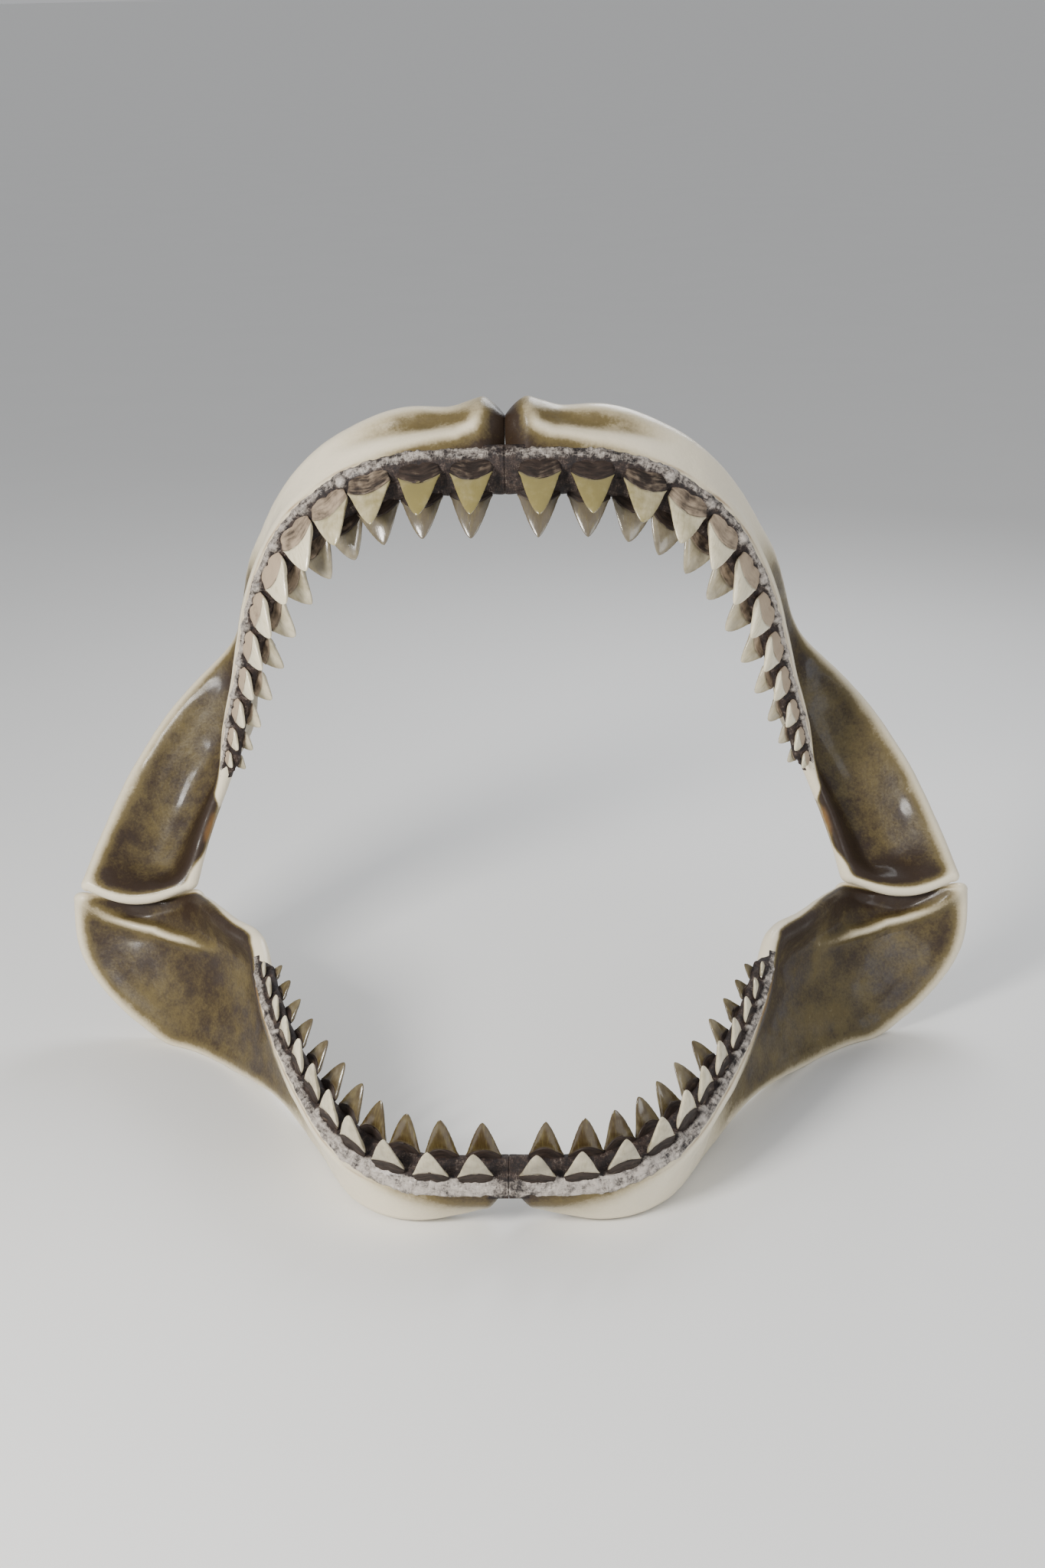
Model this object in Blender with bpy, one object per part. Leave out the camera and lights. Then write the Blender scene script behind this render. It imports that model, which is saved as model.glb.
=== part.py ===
"""Open jaws of a giant extinct shark, life size, as a museum model standing on the floor.

Four cartilages make the jaws: a left and a right half of the upper jaw, and of the lower jaw.
Each half carries a gum with two rows of standing teeth. The model rests on four places, the two
rounded chins and the two deep rear corners of the lower jaw, and the upper jaw rises from the
hinges behind.

Everything is in metres, with +Z up and the mouth facing -Y. The origin is on the floor below the
middle of the model. Each half is drawn in the flat of its own jaw: x is out from the middle,
forward is the distance ahead of the hinge axis, and bite is the way the teeth point.
"""

import math

import bmesh
import bpy
import numpy as np
from mathutils import Vector

# The pose: how far each jaw's flat is turned up from level, and where the hinge axis lies.
UPPER_SLOPE = math.radians(70.0)
LOWER_SLOPE = math.radians(-22.0)
HINGE_HEIGHT = 0.385
HINGE_BACK = 0.417

# Gaps between solids that touch.
TOUCH_GAP = 0.0004
MIDLINE_GAP = 0.0008

# How finely each half is divided: sections along it, and the shares of the web in each section.
GUM_SECTIONS = 19
BACK_SECTIONS = 9
END_STEP = 0.003
WEB_SHARES = (0.4, 0.6, 0.8)
RIM_ANGLES = (45, 90, 135)
MIDLINE_SHARES = (0.0, 0.45)
HINGE_ROUNDING_ANGLES = (40, 75)
LABIAL_GUM_ANGLE = math.radians(20)
LINGUAL_GUM_ANGLE = math.radians(10)
TOOTH_SINK = 0.38

OUT_OF_MIDDLE = np.array([1.0, 0.0, 0.0])
BITE = np.array([0.0, 0.0, 1.0])

# Stations along the right half of each jaw, from the middle of the mouth back to the hinge. The
# edge carries the teeth and the rim is the far border of the plate; both are centres of a round
# bead, with its radius. The web between them is half as thick as web says, and hollow says how
# far its middle is dished in towards the mouth.
#           edge x, forward, bite, radius     rim x, forward, bite, radius     web    hollow
UPPER_STATIONS = (
    ((0.048, 1.196, -0.218, 0.062), (0.048, 1.240, -0.300, 0.076), 0.067, 0.000),
    ((0.124, 1.195, -0.218, 0.062), (0.126, 1.219, -0.300, 0.072), 0.065, 0.000),
    ((0.205, 1.190, -0.218, 0.062), (0.218, 1.221, -0.300, 0.070), 0.064, 0.000),
    ((0.330, 1.164, -0.217, 0.059), (0.346, 1.184, -0.302, 0.062), 0.058, 0.000),
    ((0.430, 1.108, -0.215, 0.054), (0.440, 1.126, -0.306, 0.055), 0.051, 0.000),
    ((0.514, 1.034, -0.213, 0.048), (0.520, 1.040, -0.306, 0.048), 0.044, 0.002),
    ((0.590, 0.912, -0.208, 0.041), (0.602, 0.890, -0.350, 0.038), 0.032, 0.008),
    ((0.639, 0.792, -0.204, 0.037), (0.645, 0.795, -0.386, 0.034), 0.025, 0.014),
    ((0.671, 0.672, -0.200, 0.033), (0.680, 0.680, -0.433, 0.029), 0.018, 0.024),
    ((0.704, 0.545, -0.197, 0.030), (0.706, 0.572, -0.473, 0.025), 0.015, 0.034),
    ((0.736, 0.430, -0.195, 0.027), (0.735, 0.490, -0.490, 0.024), 0.013, 0.044),
    ((0.758, 0.335, -0.192, 0.026), (0.785, 0.420, -0.478, 0.024), 0.013, 0.056),
    ((0.787, 0.240, -0.170, 0.026), (0.905, 0.322, -0.409, 0.024), 0.013, 0.062),
    ((0.832, 0.145, -0.110, 0.023), (1.038, 0.176, -0.279, 0.024), 0.013, 0.060),
    ((0.881, 0.024, -0.012, 0.024), (1.149, 0.021, -0.020, 0.024), 0.022, 0.012),
)
LOWER_STATIONS = (
    ((0.046, 1.084, 0.140, 0.052), (0.046, 1.062, 0.095, 0.044), 0.046, 0.000),
    ((0.198, 1.078, 0.140, 0.052), (0.196, 1.060, 0.080, 0.062), 0.058, 0.000),
    ((0.330, 1.020, 0.142, 0.048), (0.320, 0.996, 0.040, 0.060), 0.054, 0.000),
    ((0.430, 0.908, 0.146, 0.039), (0.410, 0.850, -0.030, 0.047), 0.040, 0.004),
    ((0.502, 0.780, 0.150, 0.034), (0.477, 0.745, -0.067, 0.037), 0.026, 0.010),
    ((0.554, 0.665, 0.153, 0.031), (0.568, 0.605, -0.115, 0.029), 0.019, 0.020),
    ((0.597, 0.540, 0.155, 0.029), (0.670, 0.468, -0.195, 0.027), 0.015, 0.034),
    ((0.626, 0.430, 0.156, 0.027), (0.762, 0.362, -0.260, 0.026), 0.014, 0.046),
    ((0.652, 0.335, 0.150, 0.025), (0.860, 0.286, -0.290, 0.026), 0.014, 0.056),
    ((0.728, 0.222, 0.098, 0.024), (0.970, 0.225, -0.292, 0.026), 0.014, 0.060),
    ((0.786, 0.130, 0.056, 0.024), (1.122, 0.112, -0.215, 0.026), 0.014, 0.056),
    ((0.868, -0.010, -0.022, 0.024), (1.176, -0.006, -0.030, 0.026), 0.022, 0.034),
)
MIDLINE_DEPTH = 0.050
MIDLINE_POINT = 1.3
UPPER_GUM_END = 1.310
LOWER_GUM_END = 0.975
HINGE_BOW = 0.035
HINGE_BOW_REACH = 0.16

# Teeth, from the middle of the mouth back: how far along the edge each stands, how wide its crown
# is at the shoulders, and how high.
UPPER_TEETH = (
    (0.033, 0.098, 0.125), (0.156, 0.099, 0.116), (0.278, 0.105, 0.108), (0.392, 0.107, 0.103),
    (0.512, 0.107, 0.098), (0.642, 0.103, 0.089), (0.768, 0.098, 0.079), (0.888, 0.088, 0.069),
    (0.998, 0.078, 0.056), (1.102, 0.068, 0.046), (1.194, 0.058, 0.036), (1.268, 0.044, 0.026),
)
LOWER_TEETH = (
    (0.024, 0.080, 0.088), (0.120, 0.079, 0.090), (0.214, 0.079, 0.088), (0.310, 0.078, 0.085),
    (0.406, 0.076, 0.080), (0.500, 0.072, 0.073), (0.592, 0.067, 0.065), (0.682, 0.062, 0.057),
    (0.768, 0.056, 0.047), (0.846, 0.048, 0.037), (0.915, 0.040, 0.027),
)
# How high a tooth's shoulders are over the gum, as a share of its width.
UPPER_ROOT_SHARE = 0.29
LOWER_ROOT_SHARE = 0.24
# Each row, at the front and at the back of the mouth: how far the teeth lean inwards, how far round
# the bead of the edge they stand, outwards of its crest, and how far they are over to the right.
UPPER_ROWS = (
    ((math.radians(17), math.radians(29)), (math.radians(29), math.radians(12)), (0.003, 0.013)),
    ((math.radians(32), math.radians(50)), (math.radians(-30), math.radians(-55)), (0.0, 0.0)),
)
LOWER_ROWS = (
    ((math.radians(-9), math.radians(12)), (math.radians(30), math.radians(4)), (-0.004, -0.010)),
    ((math.radians(15), math.radians(45)), (math.radians(-30), math.radians(-55)), (0.014, -0.006)),
)


def spline(knots, values, at):
    """Smooth values at some places along a curve through the given knots."""
    knots = np.asarray(knots, float)
    values = np.asarray(values, float)
    slopes = np.gradient(values, knots, axis=0)
    at = np.atleast_1d(np.asarray(at, float))
    first = np.clip(np.searchsorted(knots, at, side="right") - 1, 0, len(knots) - 2)
    span = (knots[first + 1] - knots[first])[:, None]
    u = (at - knots[first])[:, None] / span
    start = (1 + 2 * u) * (1 - u) ** 2 * values[first] + u * (1 - u) ** 2 * span * slopes[first]
    end = u**2 * (3 - 2 * u) * values[first + 1] + u**2 * (u - 1) * span * slopes[first + 1]
    return start + end


def smooth_step(x):
    x = np.clip(x, 0.0, 1.0)
    return x * x * (3 - 2 * x)


def unit(vector):
    return vector / np.linalg.norm(vector)


class HalfJaw:
    """The right half of one jaw as curves: sections can be read anywhere along it."""

    def __init__(self, stations, bow):
        rows = [np.array([*edge, *rim, web, hollow]) for edge, rim, web, hollow in stations]
        mirrored = [row * np.array([-1, 1, 1, 1, -1, 1, 1, 1, 1, 1]) for row in rows[1::-1]]
        self.rows = np.array(mirrored + rows)
        steps = np.linalg.norm(np.diff(self.rows[:, :3], axis=0), axis=1)
        self.knots = np.concatenate([[0.0], np.cumsum(steps)])
        self.start = self.knots[2]
        self.length = self.knots[-1] - self.start
        self.bow = bow

    def row(self, along):
        return spline(self.knots, self.rows, self.start + along)[0]

    def direction(self, along, columns):
        """Unit tangent of the curve held in those columns."""
        step = 0.004
        low, high = max(along - step, -0.02), min(along + step, self.length)
        return unit((self.row(high) - self.row(low))[columns])

    def section(self, along):
        """Centre, outward normal and half thickness at any share of the web, and the end points."""
        row = self.row(along)
        edge, rim = row[0:3], row[4:7]
        down = unit(rim - edge)
        middle = unit(self.direction(along, slice(0, 3)) + self.direction(along, slice(4, 7)))
        out = unit(np.cross(middle, down))
        bow = self.bow * smooth_step(1 - (self.length - along) / HINGE_BOW_REACH)

        def centre(share):
            dish = -out * row[9] + middle * bow
            return edge + (rim - edge) * share + dish * math.sin(math.pi * share)

        def half_thickness(share):
            beads = row[3] + (row[7] - row[3]) * share
            thin = smooth_step(share / 0.3) * smooth_step((1 - share) / 0.3)
            return beads + (row[8] - beads) * thin

        return row, down, out, middle, centre, half_thickness


def new_object(name, mesh_data, material, collection):
    obj = bpy.data.objects.new(name, mesh_data)
    mesh_data.materials.append(material)
    collection.objects.link(obj)
    return obj


def loft(mesh, rings):
    """Skins a list of rings into one closed body, each ring joined to the next, ends capped."""
    loops = [[mesh.verts.new(Vector(point)) for point in ring] for ring in rings]
    count = len(loops[0])
    for near, far in zip(loops, loops[1:]):
        for i in range(count):
            j = (i + 1) % count
            mesh.faces.new((near[i], far[i], far[j]))
            mesh.faces.new((near[i], far[j], near[j]))
    mesh.faces.new(loops[0])
    mesh.faces.new(loops[-1][::-1])


def placed(points, slope, upper, side):
    """Points from the flat of a jaw to their place over the floor, on the right (1) or left (-1)."""
    points = np.asarray(points, float)
    turn = -1 if upper else 1
    forward = points[:, 1] * math.cos(slope) - turn * points[:, 2] * math.sin(slope)
    height = points[:, 1] * math.sin(slope) + turn * points[:, 2] * math.cos(slope)
    return np.stack([side * points[:, 0], HINGE_BACK - forward, HINGE_HEIGHT + height], axis=1)


def mesh_from_bodies(name, bodies, upper, side):
    """One mesh out of several lofted bodies, placed over the floor with its faces outwards."""
    slope = UPPER_SLOPE if upper else LOWER_SLOPE
    mesh = bmesh.new()
    for rings in bodies:
        loft(mesh, [placed(ring, slope, upper, side) for ring in rings])
    for vert in mesh.verts:
        vert.co.z = max(vert.co.z, 0.0)
    bmesh.ops.recalc_face_normals(mesh, faces=mesh.faces)
    data = bpy.data.meshes.new(name)
    mesh.to_mesh(data)
    mesh.free()
    return data


def cartilage_ring(half, along, gum_end, inset=0.0, push=0.0):
    """One section of the cartilage. Under the gum its tooth edge is cut flat."""
    row, down, out, middle, centre, half_thickness = half.section(along)
    shift = (middle if push > 0 else OUT_OF_MIDDLE) * push

    def side(share, sign):
        thick = max(half_thickness(share) - inset, 0.004)
        return centre(share) + sign * out * thick + shift

    rim_radius = max(row[7] - inset, 0.004)
    edge_radius = max(row[3] - inset, 0.004)
    rim_arc = []
    for angle in RIM_ANGLES:
        turn = math.radians(angle)
        rim_arc.append(row[4:7] + rim_radius * (out * math.cos(turn) + down * math.sin(turn)) + shift)
    labial, lingual = gum_line(row[0:3], row[3], out, down)
    top = (labial + lingual) / 2
    labial = top + (labial - top) * edge_radius / row[3]
    lingual = top + (lingual - top) * edge_radius / row[3]
    if along > gum_end:
        labial = row[0:3] + edge_radius * out
        lingual = row[0:3] - edge_radius * out
        top = row[0:3] - edge_radius * down
    labial, lingual, top = labial + shift, lingual + shift, top + shift
    return (
        [labial]
        + [side(share, 1) for share in WEB_SHARES]
        + [row[4:7] + rim_radius * out + shift]
        + rim_arc
        + [row[4:7] - rim_radius * out + shift]
        + [side(share, -1) for share in reversed(WEB_SHARES)]
        + [lingual, top]
    )


def gum_line(centre, radius, out, down):
    """Where the gum ends on the two sides of the edge."""
    turn = LABIAL_GUM_ANGLE
    labial = centre + radius * (out * math.cos(turn) + down * math.sin(turn))
    turn = LINGUAL_GUM_ANGLE
    lingual = centre - radius * (out * math.cos(turn) - down * math.sin(turn))
    return labial, lingual


def gum_places(gum_end):
    return np.linspace(0.0, gum_end, GUM_SECTIONS)


def cartilage_rings(half, gum_end):
    """All the sections of one cartilage, with its rounded ends."""
    rings = []
    first = half.row(0.0)[0]
    for share in MIDLINE_SHARES:
        inset = MIDLINE_DEPTH * (1 - share) ** MIDLINE_POINT
        push = -(first - MIDLINE_GAP / 2) * (1 - share)
        ring = np.array(cartilage_ring(half, 0.0, gum_end, inset, push))
        ring[:, 0] = np.maximum(ring[:, 0], MIDLINE_GAP / 2)
        rings.append(ring)
    for along in (*gum_places(gum_end), gum_end + END_STEP):
        rings.append(cartilage_ring(half, along, gum_end))
    for along in np.linspace(gum_end, half.length, BACK_SECTIONS)[1:]:
        rings.append(cartilage_ring(half, along, gum_end))
    end_round = half.row(half.length)[8]
    for angle in HINGE_ROUNDING_ANGLES:
        turn = math.radians(angle)
        inset = end_round * (1 - math.cos(turn))
        rings.append(cartilage_ring(half, half.length, gum_end, inset, end_round * math.sin(turn)))
    return rings


def gum_ring(half, along):
    """One section of the gum: the round top of the tooth edge, on a flat foot."""
    row, down, out, _, _, _ = half.section(along)
    centre = row[0:3] - down * TOUCH_GAP
    labial, lingual = gum_line(centre, row[3], out, down)
    arc = []
    for turn in (math.radians(45), math.radians(90), math.radians(135)):
        arc.append(centre + row[3] * (out * math.cos(turn) - down * math.sin(turn)))
    return [lingual, (labial + lingual) / 2, labial, *arc]


def gum_rings(half, gum_end):
    rings = [gum_ring(half, along) for along in gum_places(gum_end)]
    middle_end = [np.array([MIDLINE_GAP / 2, point[1], point[2]]) for point in rings[0]]
    return [middle_end] + rings


def tooth_rings(half, along, width, height, root, slant, lean, side_angle):
    """A tooth as sections: deep in the gum, at the crown's shoulders, half way and at its tip."""
    row = half.row(along)
    back = half.direction(along, slice(0, 3))
    back = unit(np.array([back[0], back[1], 0.0]))
    outward = np.cross(back, -BITE)
    axis = BITE * math.cos(lean) - outward * math.sin(lean)
    face = outward * math.cos(lean) + BITE * math.sin(lean)
    radius = row[3]
    foot = row[0:3] + radius * (BITE * math.cos(side_angle) + outward * math.sin(side_angle))
    rings = []
    for level, share, thick, shift in (
        (-TOOTH_SINK * radius, 0.44, 0.30, 0.0),
        (root, 0.50, 0.30, 0.0),
        (root + 0.45 * height, 0.28, 0.20, 0.3 * slant),
        (root + height, 0.03, 0.03, slant),
    ):
        at = foot + axis * level + back * shift * width
        wide, deep = back * share * width, face * thick * width
        rings.append([at - wide, at + deep * 0.35, at + wide, at - deep * 0.65])
    return rings


def material(name, colour, roughness):
    made = bpy.data.materials.new(name)
    made.use_nodes = True
    shader = made.node_tree.nodes["Principled BSDF"]
    shader.inputs["Base Color"].default_value = (*colour, 1.0)
    shader.inputs["Roughness"].default_value = roughness
    return made


def tooth_row(half, teeth, row, root_share, side):
    """The sections of every tooth in one row, for the right half (side 1) or the left (-1)."""
    leans, angles, shifts = row
    bodies = []
    for i, (along, width, height) in enumerate(teeth):
        back = smooth_step(i / 6)
        lean = leans[0] + (leans[1] - leans[0]) * back
        angle = angles[0] + (angles[1] - angles[0]) * back
        slant = min(0.03 * i, 0.2)
        at = along + side * (shifts[0] + (shifts[1] - shifts[0]) * back)
        bodies.append(tooth_rings(half, at, width, height, root_share * width, slant, lean, angle))
    return bodies


def build_half(name, half, teeth, rows, root_share, gum_end, upper, materials, collections):
    """The cartilage and the toothed gum of one half jaw, on both sides."""
    parts, helpers = collections
    for side, word in ((1, "right"), (-1, "left")):
        data = mesh_from_bodies(f"{name}_jaw_{word}", [cartilage_rings(half, gum_end)], upper, side)
        new_object(f"{name}_jaw_{word}", data, materials[0], parts)
        data = mesh_from_bodies(f"{name}_teeth_{word}", [gum_rings(half, gum_end)], upper, side)
        gum = new_object(f"{name}_teeth_{word}", data, materials[1], parts)
        bodies = []
        for row in rows:
            bodies += tooth_row(half, teeth, row, root_share, side)
        data = mesh_from_bodies(f"{name}_tooth_rows_{word}", bodies, upper, side)
        both_rows = new_object(f"{name}_tooth_rows_{word}", data, materials[1], helpers)
        both_rows.hide_render = True
        both_rows.display_type = "WIRE"
        join = gum.modifiers.new("teeth", "BOOLEAN")
        join.operation = "UNION"
        join.object = both_rows
        join.solver = "EXACT"
        join.use_self = True


def main():
    for obj in list(bpy.data.objects):
        bpy.data.objects.remove(obj)
    parts = bpy.data.collections.new("shark_jaws")
    helpers = bpy.data.collections.new("tooth_rows")
    for collection in (parts, helpers):
        bpy.context.scene.collection.children.link(collection)
    materials = (
        material("cartilage", (0.78, 0.70, 0.55), 0.35),
        material("teeth", (0.72, 0.66, 0.45), 0.25),
    )
    upper = HalfJaw(UPPER_STATIONS, HINGE_BOW)
    lower = HalfJaw(LOWER_STATIONS, 0.0)
    build_half(
        "upper", upper, UPPER_TEETH, UPPER_ROWS, UPPER_ROOT_SHARE, UPPER_GUM_END, True,
        materials, (parts, helpers),
    )
    build_half(
        "lower", lower, LOWER_TEETH, LOWER_ROWS, LOWER_ROOT_SHARE, LOWER_GUM_END, False,
        materials, (parts, helpers),
    )


main()
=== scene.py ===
"""The open jaws of a giant extinct shark, life size, as a painted museum reconstruction.

Four smooth cartilages, four ragged gums and four sets of standing teeth take the place of the plain
solids. Each half jaw is drawn in the flat of its own jaw, in metres: x is out from the middle,
forward is the distance ahead of the hinge axis, and bite is the way the teeth point. A Pose then
sets it over the floor, with +Z up and the mouth facing -Y.
"""

import logging
import math
from collections.abc import Sequence
from dataclasses import dataclass, field
from enum import Enum

import bmesh
import bpy
import numpy as np
from mathutils import Matrix, Vector


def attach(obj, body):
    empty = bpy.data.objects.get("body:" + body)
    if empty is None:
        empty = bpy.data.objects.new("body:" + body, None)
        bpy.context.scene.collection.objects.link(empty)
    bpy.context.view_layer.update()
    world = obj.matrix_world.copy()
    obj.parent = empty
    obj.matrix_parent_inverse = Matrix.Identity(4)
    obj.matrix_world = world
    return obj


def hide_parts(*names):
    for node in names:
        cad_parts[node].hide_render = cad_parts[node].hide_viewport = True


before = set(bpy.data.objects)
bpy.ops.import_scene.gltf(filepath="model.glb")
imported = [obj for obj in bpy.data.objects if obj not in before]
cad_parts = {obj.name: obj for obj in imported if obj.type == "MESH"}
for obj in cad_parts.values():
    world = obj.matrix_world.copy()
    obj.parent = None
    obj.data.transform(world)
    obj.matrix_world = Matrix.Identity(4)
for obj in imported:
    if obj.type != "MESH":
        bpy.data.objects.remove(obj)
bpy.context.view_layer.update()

MIDLINE_GAP = 0.0008
BITE = np.array([0.0, 0.0, 1.0])

Span = tuple[float, float]
Colour = tuple[float, float, float]
Values = dict[str, np.ndarray]

log = logging.getLogger("shark_jaws")


# ---------------------------------------------------------------------------------------------
# Numbers and noise
# ---------------------------------------------------------------------------------------------


def smooth_step(x: np.ndarray | float, low: float = 0.0, high: float = 1.0) -> np.ndarray:
    """A soft step.

    Args:
        x: Where to read it.
        low: Where it leaves 0.
        high: Where it reaches 1. It may lie below low, for a step that falls.

    Returns:
        0 before low, 1 after high, and a smooth rise between.
    """
    t = np.clip((np.asarray(x, float) - low) / (high - low), 0.0, 1.0)
    return t * t * (3 - 2 * t)


def hump(x: np.ndarray, centre: np.ndarray | float, width: float) -> np.ndarray:
    """A bell-shaped rise of 1 at centre, about width to each side."""
    return np.exp(-(((x - centre) / width) ** 2))


def fade(distance: np.ndarray, reach: np.ndarray | float) -> np.ndarray:
    """1 up to a line, and less and less with the distance beyond it."""
    return np.exp(-np.maximum(distance, 0) / reach)


def between(pair: Span, share: np.ndarray | float) -> np.ndarray | float:
    """A value between the pair's first, at share 0, and its second, at share 1."""
    return pair[0] + (pair[1] - pair[0]) * share


def unit(vectors: np.ndarray) -> np.ndarray:
    """The same vectors at length 1."""
    return vectors / np.maximum(np.linalg.norm(vectors, axis=-1, keepdims=True), 1e-12)


class Grain:
    """Soft, repeatable noise in space, from random values on a grid of cells."""

    CELLS = 32

    def __init__(self, seed: int) -> None:
        """Draws the grid.

        Args:
            seed: The same seed gives the same grain.
        """
        self.values = np.random.default_rng(seed).uniform(-1, 1, (self.CELLS,) * 3)

    def at(self, points: np.ndarray, size: float | Sequence[float]) -> np.ndarray:
        """Reads the grain.

        Args:
            points: Places, with x, y and z last.
            size: How far apart its lumps are, in metres, alike or for each axis.

        Returns:
            A value from -1 to 1 at each place.
        """
        cells = points / np.asarray(size, float)
        low = np.floor(cells).astype(int)
        share = smooth_step(cells - low)
        total = np.zeros(points.shape[:-1])
        for corner in np.ndindex(2, 2, 2):
            weight = np.prod(np.where(corner, share, 1 - share), axis=-1)
            x, y, z = np.moveaxis((low + corner) % self.CELLS, -1, 0)
            total += weight * self.values[x, y, z]
        return total


class SmoothCurve:
    """A curve with no kinks through given rows of numbers, one row at each knot."""

    def __init__(self, knots: np.ndarray, rows: np.ndarray) -> None:
        """Works out the bends that make it smooth.

        Args:
            knots: Where the rows lie along the curve, rising.
            rows: The numbers at each knot.
        """
        self.knots, self.rows = knots, rows
        count = len(knots)
        gaps = np.diff(knots)
        steps = np.diff(rows, axis=0) / gaps[:, None]
        matrix = np.eye(count)
        wanted = np.zeros_like(rows)
        for i in range(1, count - 1):
            matrix[i, i - 1 : i + 2] = gaps[i - 1], 2 * (gaps[i - 1] + gaps[i]), gaps[i]
            wanted[i] = 6 * (steps[i] - steps[i - 1])
        self.bends = np.linalg.solve(matrix, wanted)

    def read(self, at: np.ndarray, slope: bool = False) -> np.ndarray:
        """The rows, or how fast they change, at some places.

        Args:
            at: Places along the curve.
            slope: True for the rate of change.

        Returns:
            One row for each place.
        """
        i = np.clip(np.searchsorted(self.knots, at, side="right") - 1, 0, len(self.knots) - 2)
        gap = (self.knots[i + 1] - self.knots[i])[:, None]
        a = (self.knots[i + 1] - at)[:, None] / gap
        b = 1 - a
        if slope:
            line = (self.rows[i + 1] - self.rows[i]) / gap
            return line + gap / 6 * (
                (3 * b**2 - 1) * self.bends[i + 1] - (3 * a**2 - 1) * self.bends[i]
            )
        bend = (a**3 - a) * self.bends[i] + (b**3 - b) * self.bends[i + 1]
        return a * self.rows[i] + b * self.rows[i + 1] + gap**2 / 6 * bend


# ---------------------------------------------------------------------------------------------
# The shape of a half jaw
# ---------------------------------------------------------------------------------------------


class Side(Enum):
    """Which half a piece belongs to. The value is the sign of its x."""

    RIGHT = 1
    LEFT = -1

    @property
    def word(self) -> str:
        """The side's name in the names of the pieces."""
        return self.name.lower()


@dataclass(frozen=True)
class Pose:
    """How the flat of one jaw lies over the floor.

    Attributes:
        slope: Degrees up from level.
        turn: 1 if the teeth point up from the flat, -1 if down.
        hinge_back: How far behind the origin the hinge axis is.
        hinge_height: How high the hinge axis is.
    """

    slope: float
    turn: int
    hinge_back: float = 0.417
    hinge_height: float = 0.385

    def place(self, points: np.ndarray, side: Side) -> np.ndarray:
        """Takes points from the flat of the jaw to their place over the floor.

        Args:
            points: Places as (x, forward, bite).
            side: The half they belong to.

        Returns:
            The same places in the model's frame, none of them below the floor.
        """
        x, forward, bite = np.moveaxis(points, -1, 0)
        bite = bite * self.turn
        across, up = math.cos(math.radians(self.slope)), math.sin(math.radians(self.slope))
        y = self.hinge_back - (forward * across - bite * up)
        z = self.hinge_height + forward * up + bite * across
        return np.stack([side.value * x, y, np.maximum(z, 0.0)], axis=-1)


@dataclass(frozen=True)
class Station:
    """One place along a half jaw.

    Attributes:
        edge: Centre of the round bead that carries the teeth.
        edge_radius: Its radius.
        rim: Centre of the bead along the plate's far border.
        rim_radius: Its radius.
        web: Half the thickness between them.
        hollow: How deep the web is dished.
    """

    edge: tuple[float, float, float]
    edge_radius: float
    rim: tuple[float, float, float]
    rim_radius: float
    web: float
    hollow: float

    def row(self) -> np.ndarray:
        """All its numbers in one row."""
        return np.array(
            [*self.edge, self.edge_radius, *self.rim, self.rim_radius, self.web, self.hollow]
        )


@dataclass
class Frames:
    """The jaw's sizes and directions at some places along it, one row for each place.

    Attributes:
        edge, edge_radius, rim, rim_radius, web, hollow: The sizes, as a Station has them.
        down: Which way the rim is from the edge.
        out: Which way the plate's outer face points.
        back: Which way the hinge is, along the plate.
        edge_back: Which way it is along the edge.
        outward: Which way is out of the mouth, square to the edge.
        crest: Which way the bead's crest points.
    """

    edge: np.ndarray
    edge_radius: np.ndarray
    rim: np.ndarray
    rim_radius: np.ndarray
    web: np.ndarray
    hollow: np.ndarray
    down: np.ndarray
    out: np.ndarray
    back: np.ndarray
    edge_back: np.ndarray
    outward: np.ndarray
    crest: np.ndarray


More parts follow.
